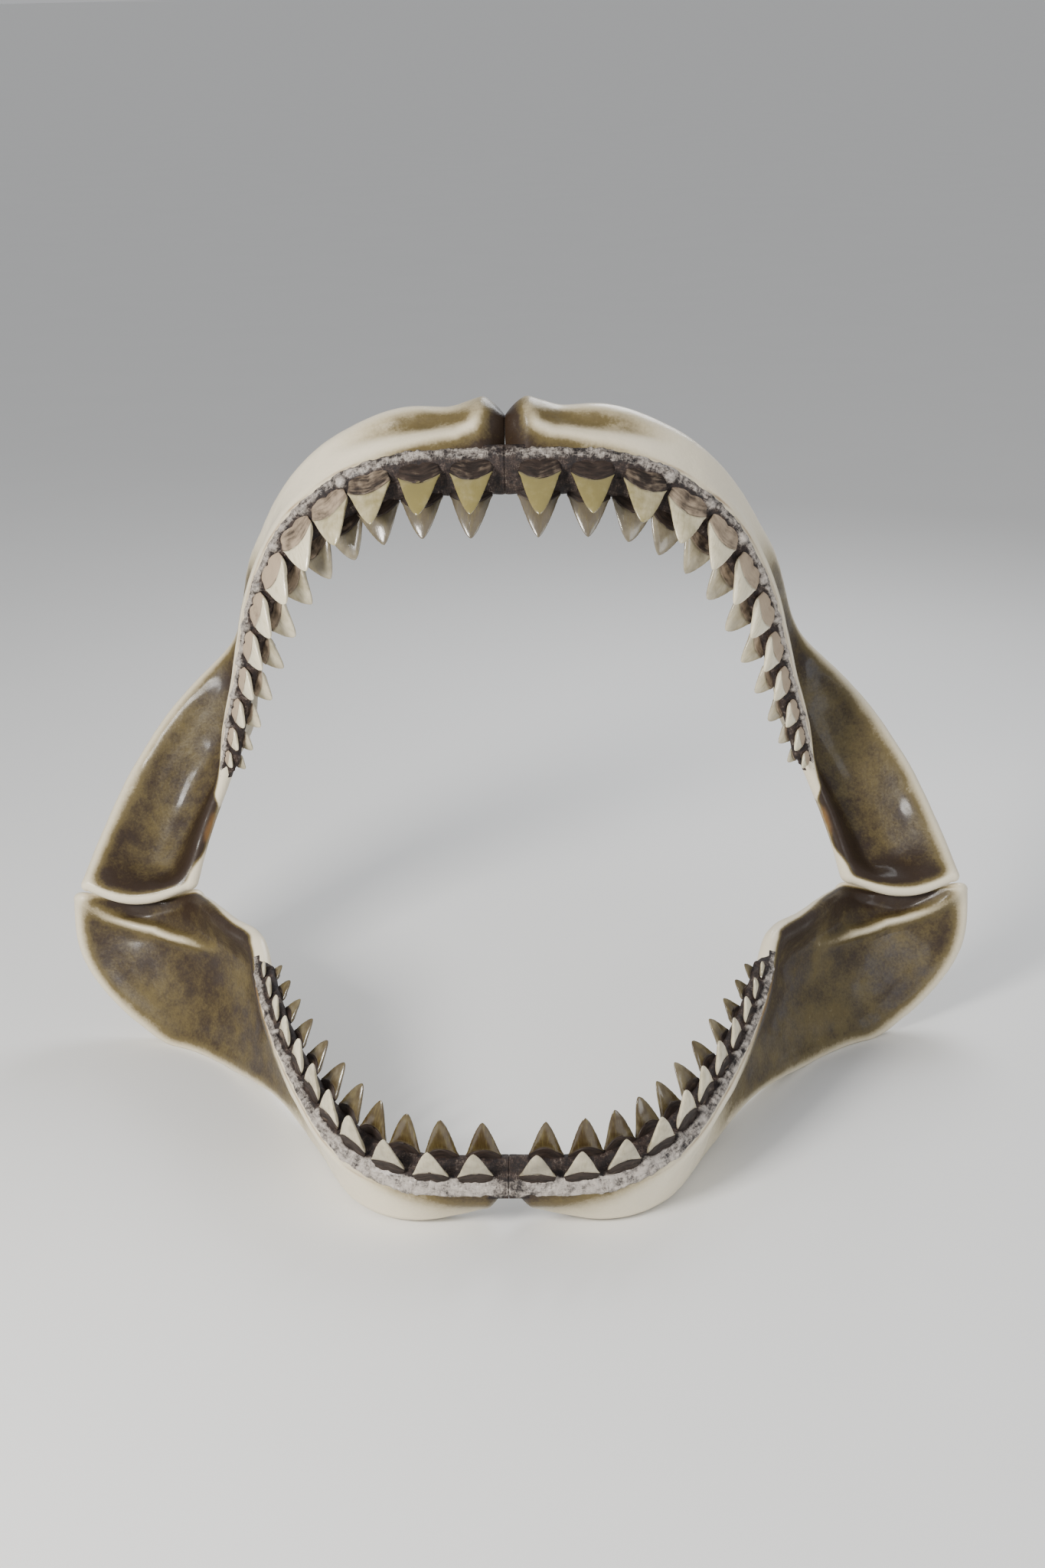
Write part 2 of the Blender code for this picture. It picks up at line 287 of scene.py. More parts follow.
@dataclass
class HalfJaw:
    """The right half of one jaw, from the middle of the mouth back to its hinge.

    Attributes:
        name: "upper" or "lower".
        pose: How the jaw lies over the floor.
        stations: The places that its shape is drawn through.
        gum_end: How far along the edge the gum reaches.
        gum_angles: Where the gum ends on the outer face, at the front and at the back of the
            mouth, in degrees round the bead from its crest.
    """

    name: str
    pose: Pose
    stations: tuple[Station, ...]
    gum_end: float
    gum_angles: Span
    curve: SmoothCurve = field(init=False)
    start: float = field(init=False)
    length: float = field(init=False)

    FRONT = 0.10  # how far along the mouth's front reaches
    BACK_SHARE = 0.70  # from which share of the gum's length on it is the back

    def __post_init__(self) -> None:
        """Draws the curve, with its first two stations mirrored over the middle."""
        rows = [station.row() for station in self.stations]
        mirror = np.array([-1, 1, 1, 1, -1, 1, 1, 1, 1, 1])
        rows = np.array([row * mirror for row in rows[1::-1]] + rows)
        steps = np.linalg.norm(np.diff(rows[:, :3], axis=0), axis=1)
        knots = np.concatenate([[0.0], np.cumsum(steps)])
        self.curve = SmoothCurve(knots, rows)
        self.start = float(knots[2])
        self.length = float(knots[-1] - knots[2])

    def frames(self, along: np.ndarray) -> Frames:
        """The sizes and directions at some places.

        Args:
            along: Distances along the edge from the first station.

        Returns:
            The frames there.
        """
        rows = self.curve.read(self.start + along)
        slopes = self.curve.read(self.start + along, slope=True)
        edge, rim = rows[:, 0:3], rows[:, 4:7]
        edge_back = unit(slopes[:, 0:3])
        back = unit(edge_back + unit(slopes[:, 4:7]))
        down = unit(rim - edge)
        outward = unit(np.cross(edge_back, -BITE))
        return Frames(
            edge, rows[:, 3], rim, rows[:, 7], rows[:, 8], rows[:, 9],
            down, unit(np.cross(back, down)), back, edge_back,
            outward, unit(np.cross(edge_back, outward)),
        )

    def backness(self, along: np.ndarray) -> np.ndarray:
        """0 at the front of the mouth, 1 at its back."""
        return smooth_step(along, self.FRONT, self.BACK_SHARE * self.gum_end)

    def gum_edge(self, along: np.ndarray) -> np.ndarray:
        """Where the gum ends on the outer face, in degrees round the bead from its crest."""
        return between(self.gum_angles, self.backness(along))


# ---------------------------------------------------------------------------------------------
# Meshes
# ---------------------------------------------------------------------------------------------


@dataclass
class Skin:
    """A mesh in the making: points and faces, with named values at the points.

    Attributes:
        points: Places, one row each.
        faces: Corner numbers of each face.
        values: Name to one number, or one row of three, for each point.
    """

    points: np.ndarray
    faces: list[tuple[int, ...]]
    values: Values = field(default_factory=dict)

    @classmethod
    def tube(cls, grid: np.ndarray, values: Values) -> "Skin":
        """A closed body from rings of points.

        The ends are closed straight across, each point of a ring to the one that mirrors it.

        Args:
            grid: Rings of an even number of points, as (ring, point, xyz).
            values: Name to a number or a row for each point of the grid.

        Returns:
            The skin.
        """
        rings, count = grid.shape[:2]
        index = np.arange(rings * count).reshape(rings, count)
        following = np.roll(index, -1, axis=1)
        sides = np.stack(
            [index[:-1], index[1:], following[1:], following[:-1]], axis=-1
        ).reshape(-1, 4)
        faces = [tuple(face) for face in sides.tolist()]
        half = count // 2
        for ring, step in ((index[0], 1), (index[-1], -1)):
            ring = ring.tolist()
            for j in range(half):
                corners = [ring[j], ring[j + 1], ring[count - j - 1], ring[(count - j) % count]]
                corners = list(dict.fromkeys(corners))
                faces.append(tuple(corners[::step]))
        flat = {
            name: value.reshape(rings * count, *value.shape[2:]) for name, value in values.items()
        }
        return cls(grid.reshape(-1, 3), faces, flat)

    @classmethod
    def joined(cls, skins: Sequence["Skin"]) -> "Skin":
        """One skin out of several.

        Args:
            skins: Skins that carry the same values.

        Returns:
            The skin of all of them.
        """
        faces: list[tuple[int, ...]] = []
        start = 0
        for skin in skins:
            faces += [tuple(corner + start for corner in face) for face in skin.faces]
            start += len(skin.points)
        values = {
            name: np.concatenate([skin.values[name] for skin in skins])
            for name in skins[0].values
        }
        return cls(np.concatenate([skin.points for skin in skins]), faces, values)

    def make(self, name: str) -> bpy.types.Object:
        """Makes the Blender object.

        Args:
            name: The piece's name.

        Returns:
            The new object, smooth shaded, facing outwards and linked to the scene.
        """
        mesh = bpy.data.meshes.new(name)
        mesh.from_pydata(self.points.tolist(), [], self.faces)
        turned = bmesh.new()
        turned.from_mesh(mesh)
        bmesh.ops.recalc_face_normals(turned, faces=turned.faces)
        turned.to_mesh(mesh)
        turned.free()
        for key, value in self.values.items():
            wide = value.ndim == 2
            layer = mesh.attributes.new(key, "FLOAT_VECTOR" if wide else "FLOAT", "POINT")
            layer.data.foreach_set("vector" if wide else "value", value.astype(np.float32).ravel())
        mesh.shade_smooth()
        mesh.update()
        piece = bpy.data.objects.new(name, mesh)
        bpy.context.scene.collection.objects.link(piece)
        return piece


def normals_of(grid: np.ndarray) -> np.ndarray:
    """Which way a closed tube of rings faces at each of its points.

    Args:
        grid: Rings of points, as (ring, point, xyz).

    Returns:
        Unit vectors in the grid's shape, pointing out.
    """
    along = np.gradient(grid, axis=0)
    around = np.roll(grid, -1, axis=1) - np.roll(grid, 1, axis=1)
    return unit(np.cross(along, around))


# ---------------------------------------------------------------------------------------------
# Materials
# ---------------------------------------------------------------------------------------------

class Value:
    """A shader socket that takes part in sums written in Python."""

    def __init__(self, recipe: "Recipe", socket: bpy.types.NodeSocket) -> None:
        """Wraps an output socket of that recipe's nodes."""
        self.recipe, self.socket = recipe, socket

    def _sum(self, operation: str, first: "Value | float", second: "Value | float") -> "Value":
        """A Math node on two values."""
        return self.recipe.node("ShaderNodeMath", {"operation": operation}, {0: first, 1: second})

    def __add__(self, other: "Value | float") -> "Value":
        """self + other."""
        return self._sum("ADD", self, other)

    def __radd__(self, other: float) -> "Value":
        """other + self."""
        return self._sum("ADD", other, self)

    def __sub__(self, other: "Value | float") -> "Value":
        """self - other."""
        return self._sum("SUBTRACT", self, other)

    def __rsub__(self, other: float) -> "Value":
        """other - self."""
        return self._sum("SUBTRACT", other, self)

    def __mul__(self, other: "Value | float") -> "Value":
        """self * other."""
        return self._sum("MULTIPLY", self, other)

    def __rmul__(self, other: float) -> "Value":
        """other * self."""
        return self._sum("MULTIPLY", other, self)

    def between(self, low: float, high: float) -> "Value":
        """A soft step: 0 below low, 1 above high. low may be the greater, for a falling step."""
        return self.recipe.node(
            "ShaderNodeMapRange",
            {"interpolation_type": "SMOOTHSTEP"},
            {0: self, 1: low, 2: high, 3: 0.0, 4: 1.0},
        )


class Recipe:
    """One material in the making, on a Principled shader."""

    def __init__(self, name: str, **fixed: float) -> None:
        """Starts the material.

        Args:
            name: The material's name.
            fixed: Shader socket, with _ for a space, to the value it has all over.
        """
        self.material = bpy.data.materials.new(name)
        self.material.use_nodes = True
        self.tree = self.material.node_tree
        self.shader = self.tree.nodes["Principled BSDF"]
        for socket, value in fixed.items():
            self.shader.inputs[socket.replace("_", " ")].default_value = value

    def node(
        self,
        kind: str,
        settings: dict[str, object] | None = None,
        sockets: dict[str | int, object] | None = None,
        output: str | int = 0,
    ) -> Value:
        """Adds a node.

        Args:
            kind: The node's type.
            settings: Its properties, set first.
            sockets: Input socket to a Value that feeds it, or to a plain value.
            output: The output wanted.

        Returns:
            That output.
        """
        made = self.tree.nodes.new(kind)
        for key, setting in (settings or {}).items():
            setattr(made, key, setting)
        for key, value in (sockets or {}).items():
            if isinstance(value, Value):
                self.tree.links.new(value.socket, made.inputs[key])
            elif isinstance(value, tuple) and made.inputs[key].type == "RGBA":
                made.inputs[key].default_value = (*value, 1.0)
            else:
                made.inputs[key].default_value = value
        return Value(self, made.outputs[output])

    def mix(
        self, share: Value | float, first: Value | Colour, second: Value | Colour
    ) -> Value:
        """A colour from first, at share 0, to second, at share 1."""
        return self.node(
            "ShaderNodeMix", {"data_type": "RGBA"}, {0: share, 6: first, 7: second}, output=2
        )

    def carried(self, name: str) -> Value:
        """A number that the mesh carries at its points."""
        return self.node("ShaderNodeAttribute", {"attribute_name": name}, output="Fac")

    def carried_place(self, name: str) -> Value:
        """A vector that the mesh carries at its points."""
        return self.node("ShaderNodeAttribute", {"attribute_name": name}, output="Vector")

    def place(self) -> Value:
        """Where on the object the surface is, in metres."""
        return self.node("ShaderNodeTexCoord", output="Object")

    def stretched(self, place: Value, scale: tuple[float, float, float]) -> Value:
        """The same place with its axes scaled."""
        return self.node("ShaderNodeVectorMath", {"operation": "MULTIPLY"}, {0: place, 1: scale})

    def noise(
        self, place: Value, size: float, detail: float = 3.0, rough: float = 0.55, bent: float = 0.0
    ) -> Value:
        """Cloudy noise from 0 to 1.

        Args:
            place: Where it is read.
            size: How far apart its clouds are.
            detail: How many finer layers it has.
            rough: How strong they are.
            bent: How far its clouds are bent out of shape.

        Returns:
            The noise.
        """
        sockets = {
            "Vector": place, "Scale": 1 / size, "Detail": detail, "Roughness": rough,
            "Distortion": bent,
        }
        return self.node("ShaderNodeTexNoise", {}, sockets)

    def bump(self, height: Value, distance: float, strength: float = 1.0) -> Value:
        """A normal that follows fine relief of that depth."""
        sockets = {"Height": height, "Distance": distance, "Strength": strength}
        return self.node("ShaderNodeBump", {}, sockets)

    def done(self, **varying: Value) -> bpy.types.Material:
        """Feeds the shader's varying sockets, with _ for a space, and gives the material."""
        for socket, value in varying.items():
            self.tree.links.new(value.socket, self.shader.inputs[socket.replace("_", " ")])
        return self.material


@dataclass(frozen=True)
class CartilageFinish:
    """Cream paint, airbrushed brown in the hollows and varnished, with painted shade by the beads
    and under the rim, and pale rims and ridges that are partly painted highlight.

    Attributes:
        ivory, cream, olive, umber: The paint from its palest to its darkest.
        rust: The colour of the lines along the gum.
        cream_at, olive_at, umber_at, rust_at: Over which depths of stain each sets in.
        soaked_at: Over which depths the stain turns cloudy.
        clouds, blotches, specks, ripples: How far apart these are, in metres.
        relief: How deep the brush marks are, in metres.
    """

    ivory: Colour = (0.79, 0.71, 0.54)
    cream: Colour = (0.47, 0.40, 0.26)
    olive: Colour = (0.118, 0.088, 0.034)
    umber: Colour = (0.028, 0.016, 0.009)
    rust: Colour = (0.25, 0.125, 0.040)
    cream_at: Span = (0.00, 0.30)
    olive_at: Span = (0.18, 0.55)
    umber_at: Span = (0.50, 1.05)
    rust_at: Span = (0.20, 1.20)
    soaked_at: Span = (0.05, 0.90)
    clouds: float = 0.17
    blotches: float = 0.048
    specks: float = 0.007
    ripples: float = 0.030
    relief: float = 0.0036

    def material(self) -> bpy.types.Material:
        """Mixes the paint."""
        recipe = Recipe(
            "painted_cartilage", Coat_Roughness=0.13, IOR=1.42, Specular_IOR_Level=0.35
        )
        place = recipe.place()
        clouds = recipe.noise(place, self.clouds, 4.0)
        blotches = recipe.noise(place, self.blotches, 5.0, 0.62)
        specks = recipe.noise(place, self.specks, 3.0, 0.65)
        # The stain is the airbrushed brown together with painted shade in the hollows and painted
        # highlight on the crests.
        stain = recipe.carried("stain")
        soaked = stain.between(*self.soaked_at)
        depth = stain + soaked * (0.95 * (clouds - 0.5) + 0.75 * (blotches - 0.5))
        depth = depth + (0.06 + 0.42 * soaked) * (specks - 0.5)
        colour = recipe.mix(depth.between(*self.cream_at), self.ivory, self.cream)
        colour = recipe.mix(depth.between(*self.olive_at), colour, self.olive)
        colour = recipe.mix(depth.between(*self.umber_at), colour, self.umber)
        streak = recipe.carried("rust") * (0.35 + 1.1 * blotches)
        colour = recipe.mix(streak.between(*self.rust_at) * 0.8, colour, self.rust)
        roughness = 0.36 + 0.14 * depth.between(0.1, 0.9) + 0.20 * (specks - 0.5)
        ripples = recipe.noise(place, self.ripples, 2.0)
        height = 0.50 * ripples + 0.42 * blotches + 0.20 * specks
        return recipe.done(
            Base_Color=colour,
            Roughness=roughness,
            Coat_Weight=0.17 + 0.9 * (blotches - 0.5),
            Normal=recipe.bump(height, self.relief, 0.75),
        )


@dataclass(frozen=True)
class EnamelFinish:
    """Polished enamel, from cream to yellow, grey or brown.

    Attributes:
        bright, yellow, grey, brown: Its colours.
        shade: How deep a grey band lies along the root, in metres.
        streaks, clouds: How far apart these are, in metres.
        relief: How deep its wear is, in metres.
    """

    bright: Colour = (0.78, 0.70, 0.50)
    yellow: Colour = (0.21, 0.172, 0.054)
    grey: Colour = (0.110, 0.091, 0.064)
    brown: Colour = (0.046, 0.027, 0.010)
    shade: float = 0.009
    streaks: float = 0.005
    clouds: float = 0.032
    relief: float = 0.0006

    def material(self) -> bpy.types.Material:
        """Mixes the tones that each tooth carries."""
        recipe = Recipe("enamel", Coat_Roughness=0.12, IOR=1.55, Coat_Weight=0.40)
        spot = recipe.carried_place("spot")
        over_line = recipe.carried("over_line")
        yellowed = recipe.carried("yellowed")
        aged = recipe.carried("aged")
        browned = recipe.carried("browned")
        lengthways = recipe.stretched(spot, (1.0, 0.15, 1.0))
        streaks = recipe.noise(lengthways, self.streaks, 3.0, 0.6)
        clouds = recipe.noise(spot, self.clouds, 3.0) - 0.5
        crown = recipe.mix((yellowed + 0.7 * clouds).between(0.0, 1.0), self.bright, self.yellow)
        # Grey and brown are partly painted shade, darkening the inner rows' crowns.
        crown = recipe.mix((aged + 0.5 * clouds).between(0.0, 1.0), crown, self.grey)
        crown = recipe.mix((browned + 0.6 * clouds).between(0.0, 1.0), crown, self.brown)
        crown = recipe.mix(streaks.between(0.48, 0.78) * 0.42, crown, self.yellow)
        crown = recipe.mix(over_line.between(self.shade, 0.0) * 0.45, crown, self.grey)
        return recipe.done(
            Base_Color=crown,
            Roughness=0.22 + 0.14 * (streaks - 0.5),
            Normal=recipe.bump(streaks + 2.0 * clouds, self.relief, 0.6),
        )


@dataclass(frozen=True)
class RootFinish:
    """Dull tooth root, banded alongside the enamel.

    Attributes:
        dark, middle, pale: Its colours.
        bands, clouds: How far apart these are, in metres.
        relief: How deep the bands are, in metres.
    """

    dark: Colour = (0.015, 0.010, 0.008)
    middle: Colour = (0.038, 0.025, 0.019)
    pale: Colour = (0.40, 0.31, 0.22)
    bands: float = 0.0065
    clouds: float = 0.026
    relief: float = 0.0016

    def material(self) -> bpy.types.Material:
        """Mixes the bands."""
        recipe = Recipe("tooth_roots", IOR=1.5, Specular_IOR_Level=0.3)
        grain = recipe.carried_place("grain")
        crossways = recipe.stretched(grain, (0.18, 1.0, 1.0))
        bands = recipe.noise(crossways, self.bands, 3.0, 0.6)
        clouds = recipe.noise(grain, self.clouds, 3.0) - 0.5
        root = recipe.mix(bands.between(0.34, 0.66), self.dark, self.middle)
        # The paleness is partly painted highlight: the roots towards the back are paler where the
        # light falls.
        paleness = recipe.carried("pale_root") + 0.9 * clouds + 0.7 * (bands - 0.5)
        root = recipe.mix(paleness.between(0.15, 0.95), root, self.pale)
        return recipe.done(
            Base_Color=root,
            Roughness=0.56 - 0.2 * (bands - 0.5),
            Normal=recipe.bump(bands, self.relief, 0.8),
        )


@dataclass(frozen=True)
class GumFinish:
    """Dried gum: dark skin, painted shade behind the outer row, with a border of pale ragged
    fibres.

    Attributes:
        dark, brown, pale: Its colours; dark is painted shade, and pale is partly painted highlight
            on the fibres' tops.
        threads, hairs, clouds: How far apart these are, in metres.
        bent: How far the fibres are bent out of line.
        relief: How deep the fibres are, in metres.
    """

    dark: Colour = (0.013, 0.009, 0.009)
    brown: Colour = (0.052, 0.033, 0.025)
    pale: Colour = (0.44, 0.395, 0.350)
    threads: float = 0.0042
    hairs: float = 0.0048
    clouds: float = 0.022
    bent: float = 1.4
    relief: float = 0.0030

    def material(self) -> bpy.types.Material:
        """Mixes skin and fibres by the values that the mesh carries."""
        recipe = Recipe("dried_gum", Coat_Roughness=0.25, IOR=1.42, Specular_IOR_Level=0.4)
        place = recipe.place()
        pale = recipe.carried("pale")
        spot = recipe.carried_place("spot")
        lengthways = recipe.stretched(spot, (0.32, 1.0, 1.0))
        threads = recipe.noise(lengthways, self.threads, 4.0, 0.62, self.bent)
        crossways = recipe.stretched(spot, (1.0, 0.36, 1.0))
        hairs = recipe.noise(crossways, self.hairs, 4.0, 0.62, self.bent)
        clouds = recipe.noise(place, self.clouds, 4.0, 0.6) - 0.5
        fibres = 0.5 * threads + 0.5 * hairs
        # Painted shade in the gaps between the fibres and painted highlight on their tops, over the
        # pale fibres' own colour.
        colour = recipe.mix((fibres + 0.6 * clouds).between(0.40, 0.66), self.dark, self.brown)
        light = pale + 2.0 * (fibres - 0.5) + 1.4 * clouds
        colour = recipe.mix(light.between(0.12, 1.00), colour, self.pale)
        return recipe.done(
            Base_Color=colour,
            Roughness=0.60 - 0.3 * (fibres - 0.5),
            Coat_Weight=pale * 0.35,
            Normal=recipe.bump(fibres + 0.4 * clouds, self.relief, 0.9),
        )


@dataclass(frozen=True)
class FloorFinish:
    """A plain pale studio floor."""

    colour: Colour = (0.82, 0.82, 0.81)

    def material(self) -> bpy.types.Material:
        """A matt paint with the faintest unevenness."""
        recipe = Recipe("pale_floor")
        clouds = recipe.noise(recipe.place(), 0.6)
        shade = tuple(part * 0.97 for part in self.colour)
        return recipe.done(
            Base_Color=recipe.mix(clouds, self.colour, shade), Roughness=0.55 + 0.1 * clouds
        )


# ---------------------------------------------------------------------------------------------
# Sub-assemblies
# ---------------------------------------------------------------------------------------------


@dataclass
class Piece:
    """What every piece of the jaws has: the half it follows, its side and its finishes.

    Attributes:
        half: The half jaw that it follows.
        side: Which side of the mouth it is on.
        finishes: Slot to material.
    """

    half: HalfJaw
    side: Side
    finishes: dict[str, bpy.types.Material]

    def dress(self, skin: Skin, name: str, node: str, slot: str) -> None:
        """Makes a piece, paints it and hangs it on the frame.

        Args:
            skin: Its shape, in the model's frame.
            name: Its name, before the side.
            node: The solid that it stands for, before the side.
            slot: Its material slot.
        """
        piece = skin.make(f"{self.half.name}_{name}_{self.side.word}")
        piece.data.materials.append(self.finishes[slot])
        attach(piece, "root")
        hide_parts(f"{self.half.name}_{node}_{self.side.word}")
        log.info("%s: %d faces", piece.name, len(piece.data.polygons))


class End(Enum):
    """The end of a half jaw that a ridge's path is measured from."""

    MIDDLE = "along"
    HINGE = "to_hinge"


@dataclass(frozen=True)
class Ridge:
    """A raised or sunken line on the outer face.

    Attributes:
        start: The end that its path is measured from.
        path: Points of the line as (distance from that end, share of the way to the rim).
        width: How far it spreads to each side, in metres.
        height: How far it stands out, in metres, at each point of the path.
        painted_highlight: How much of the stain is taken off it: a painted highlight on a raised
            crest.
        brown: How much darker it gets: stain and painted shade in a sunken groove.
    """

    start: End
    path: tuple[Span, ...]
    width: float
    height: tuple[float, ...]
    painted_highlight: float = 0.0
    brown: float = 0.0

    def relief(self, known: Values) -> np.ndarray:
        """How far it lifts the surface.

        Args:
            known: What is known at each point of the cartilage.

        Returns:
            The lift at each point.
        """
        lengthways, across, reach = known[self.start.value], known["across"], known["reach"]
        lift = np.zeros_like(across)
        for (a, b), (low, high) in zip(
            zip(self.path, self.path[1:]), zip(self.height, self.height[1:])
        ):
            run = np.stack([np.full_like(reach, b[0] - a[0]), (b[1] - a[1]) * reach], axis=-1)
            off = np.stack([lengthways - a[0], across - a[1] * reach], axis=-1)
            t = np.clip((off * run).sum(-1) / (run**2).sum(-1), 0, 1)
            gap = np.linalg.norm(off - t[..., None] * run, axis=-1)
            lift_here = between((low, high), t) * hump(gap, 0.0, self.width)
            lift = np.where(np.abs(lift_here) > np.abs(lift), lift_here, lift)
        return lift


@dataclass(frozen=True)
class PaintPlan:
    """Where the brown paint lies on a half jaw, with its painted shade and painted highlight.
    Distances are in metres.

    Attributes:
        hinge_border: From where to where the plate's stain sets in before the hinge.
        edge_border: Where it sets in across from the edge's centre line: beside the teeth, behind
            them and at the hinge.
        line_off: How far outside the gum the rust line runs.
        front_stain: How brown the outer face is along the gum, near the middle.
        rim_stain: How brown it is along the rim, near the middle, as stain and painted shade where
            the face turns away.
        edge_rust: How rusty the edge is behind the gum.
        plate_from: How deep the web is dished where the plate's stain starts and where it is full.
        soft: Over how far to each side the stain's border by the edge softens.
        rim_border: Over which distances from the rim's centre line the stain sets in; the pale rim
            is partly painted highlight.
        rim_least: What is left of it on the rim.
        after_gum: How far past the gum's end the border by the edge changes.
        corner_reach: How far from the hinge it changes again.
        edge_fade, hinge_fade: How far from the edge and the hinge the plate is darker, as painted
            shade in the hollow by the beads.
        plate_tone: Its stain away from them, and its stain with painted shade close to them.
        inner_tone: The inner face's stain.
        front: Over which distances from the middle the front's stain sets in.
        gum_fade: How far it spreads from the gum, at the sides and at the front.
        side_stain: How brown the outer face is along the gum, at the sides.
        rim_at: Where that band of stain and painted shade lies, as a share of the way from the rim,
            and its width.
        rim_front: Over which distances from the middle it sets in.
        middle: How brown the middle is, and over which width.
        most: The deepest stain.
        line_end: How far before the gum's end the rust line starts to fade.
        line_from: Over which distances from the front it sets in.
        line_rim: Over which distance from the rim it does.
        line_width: Its width.
        rust_after, rust_before: Over which distances past the gum and before the hinge the
            rusty edge sets in.
        rust_at: How far across it lies, and its width.
    """

    hinge_border: Span
    edge_border: tuple[float, float, float]
    line_off: float
    front_stain: float
    rim_stain: float
    edge_rust: float
    plate_from: Span = (0.004, 0.024)
    soft: float = 0.011
    rim_border: Span = (-0.010, 0.042)
    rim_least: float = 0.10
    after_gum: Span = (0.075, 0.130)
    corner_reach: float = 0.17
    edge_fade: float = 0.080
    hinge_fade: float = 0.035
    plate_tone: Span = (0.80, 1.10)
    inner_tone: float = 0.35
    front: Span = (0.42, 0.02)
    gum_fade: Span = (0.012, 0.058)
    side_stain: float = 0.12
    rim_at: Span = (0.14, 0.40)
    rim_front: Span = (0.48, 0.16)
    middle: Span = (0.95, 0.034)
    most: float = 1.1
    line_end: float = 0.1
    line_from: Span = (0.05, 0.40)
    line_rim: float = 0.02
    line_width: float = 0.0050
    rust_after: Span = (0.10, 0.15)
    rust_before: Span = (0.09, 0.15)
    rust_at: Span = (-0.022, 0.014)


@dataclass
class Cartilage(Piece):
    """One half of a jaw's cartilage, with its beads, its hollowed plate and its rounded ends.

    Attributes:
        ridges: Raised or sunken lines on the outer face.
        hinge_bow: How far the hinge end bulges.
        hinge_dish: How deep it is dished there.
        paint: Where its brown paint lies.
        midline_round: How far the end at the middle of the mouth is cut back.
        midline_depth: How much thinner that end gets.
        step: Distance between sections.
    """

    ridges: tuple[Ridge, ...]
    hinge_bow: float
    hinge_dish: float
    paint: PaintPlan
    midline_round: float = 0.050
    midline_depth: float = 0.052
    step: float = 0.006

    ARC_POINTS = 9  # points round a quarter of a bead
    WEB_POINTS = 40  # points from bead to bead
    CROWDING = 0.35  # how far these crowd towards the beads
    MIDLINE_ARC = (88, 12, 9)  # rounding at the middle: first and last turn, and how many
    MIDLINE_POINT = 1.3  # above 1 leaves it blunter
    HINGE_ARC = (0, 88, 10)  # rounding at the hinge
    HINGE_BOW_REACH = 0.16  # how far from the hinge the bow starts
    HINGE_BEAD = 0.060  # how far from it the web thickens
    HINGE_FILL = 0.75  # by which share of the way to the beads
    BOWL = (0.30, 0.45)  # at which shares of the way across the dish is at its deepest
    EDGE_BLEND = (0.3, 2.4)  # between which multiples of its radius a bead runs out
    RIM_BLEND = (0.3, 2.6)
    LEAST = 0.0012  # the least radius or thickness
    SEED = 11
    UNEVEN = ((0.0016, 0.110, 0.0), (0.0008, 0.034, 3.3))  # swells as (height, size, shift)
    RIDGES_FROM = (0.0, 0.6)  # where ridges set in over the bead, from 0 at its crest
    PAINT_FROM = (0.1, 0.8)  # where the outer face's paint does

    def places(self) -> tuple[np.ndarray, np.ndarray, np.ndarray]:
        """Where the sections are.

        Returns:
            Distance along the edge, how far each section shrinks, and how far it is pushed on
            beyond the hinge end.
        """
        first = self.half.stations[0].edge[0]
        turns = np.radians(np.linspace(*self.MIDLINE_ARC))
        reach = self.midline_round
        middle = MIDLINE_GAP / 2 + reach * (1 - np.sin(turns)) - first
        body = np.arange(middle[-1] + self.step, self.half.length, self.step)
        turns = np.radians(np.linspace(*self.HINGE_ARC))
        rounding = float(self.half.frames(np.array([self.half.length])).web[0])
        along = np.concatenate([middle, body, np.full(len(turns), self.half.length)])
        gap = np.clip(1 - (along + first) / reach, 0, 1)
        inset = self.midline_depth * gap**self.MIDLINE_POINT
        push = np.zeros_like(along)
        inset[-len(turns) :] = rounding * (1 - np.cos(turns))
        push[-len(turns) :] = rounding * np.sin(turns)
        return along, inset, push

    def middle_of_web(self, f: Frames, share: np.ndarray, to_hinge: np.ndarray) -> np.ndarray:
        """The middle of the web's thickness, dished, and bowed out at the hinge.

        Args:
            f: The frames of the sections.
            share: Shares of the way from edge to rim.
            to_hinge: How far each section is from the hinge.

        Returns:
            A place for each section and share.
        """
        bead = smooth_step(to_hinge, self.HINGE_BEAD, 0.0)[:, None]
        depth = f.hollow[:, None] + (self.hinge_dish - f.hollow[:, None]) * bead
        bowl = smooth_step(share, 0.0, self.BOWL[0]) * smooth_step(share, 1.0, self.BOWL[1])
        dish = -f.out[:, None] * (depth * bowl)[..., None]
        bow = self.hinge_bow * smooth_step(1 - to_hinge / self.HINGE_BOW_REACH)
        line = f.edge[:, None] + (f.rim - f.edge)[:, None] * share[:, None]
        return line + dish + (f.back * bow[:, None])[:, None] * np.sin(np.pi * share)[:, None]

    def half_thickness(self, f: Frames, share: np.ndarray, to_hinge: np.ndarray) -> np.ndarray:
        """Half the web's thickness, which runs out from the beads.

        Args:
            f: The frames of the sections.
            share: Shares of the way from edge to rim.
            to_hinge: How far each section is from the hinge.

        Returns:
            A thickness for each section and share.
        """
        reach = np.linalg.norm(f.rim - f.edge, axis=1)[:, None]
        bead = smooth_step(to_hinge, self.HINGE_BEAD, 0.0)[:, None]
        thin = smooth_step(share * reach / f.edge_radius[:, None], *self.EDGE_BLEND)
        thin = thin * smooth_step((1 - share) * reach / f.rim_radius[:, None], *self.RIM_BLEND)
        beads = f.edge_radius[:, None] + (f.rim_radius - f.edge_radius)[:, None] * share
        web = f.web[:, None] + (beads - f.web[:, None]) * bead * self.HINGE_FILL
        return beads + (web - beads) * thin

    def quarter(self) -> np.ndarray:
        """Turns round a quarter of a bead, from the face to its crest."""
        return np.radians(np.linspace(0, 90, self.ARC_POINTS + 1)[1:])

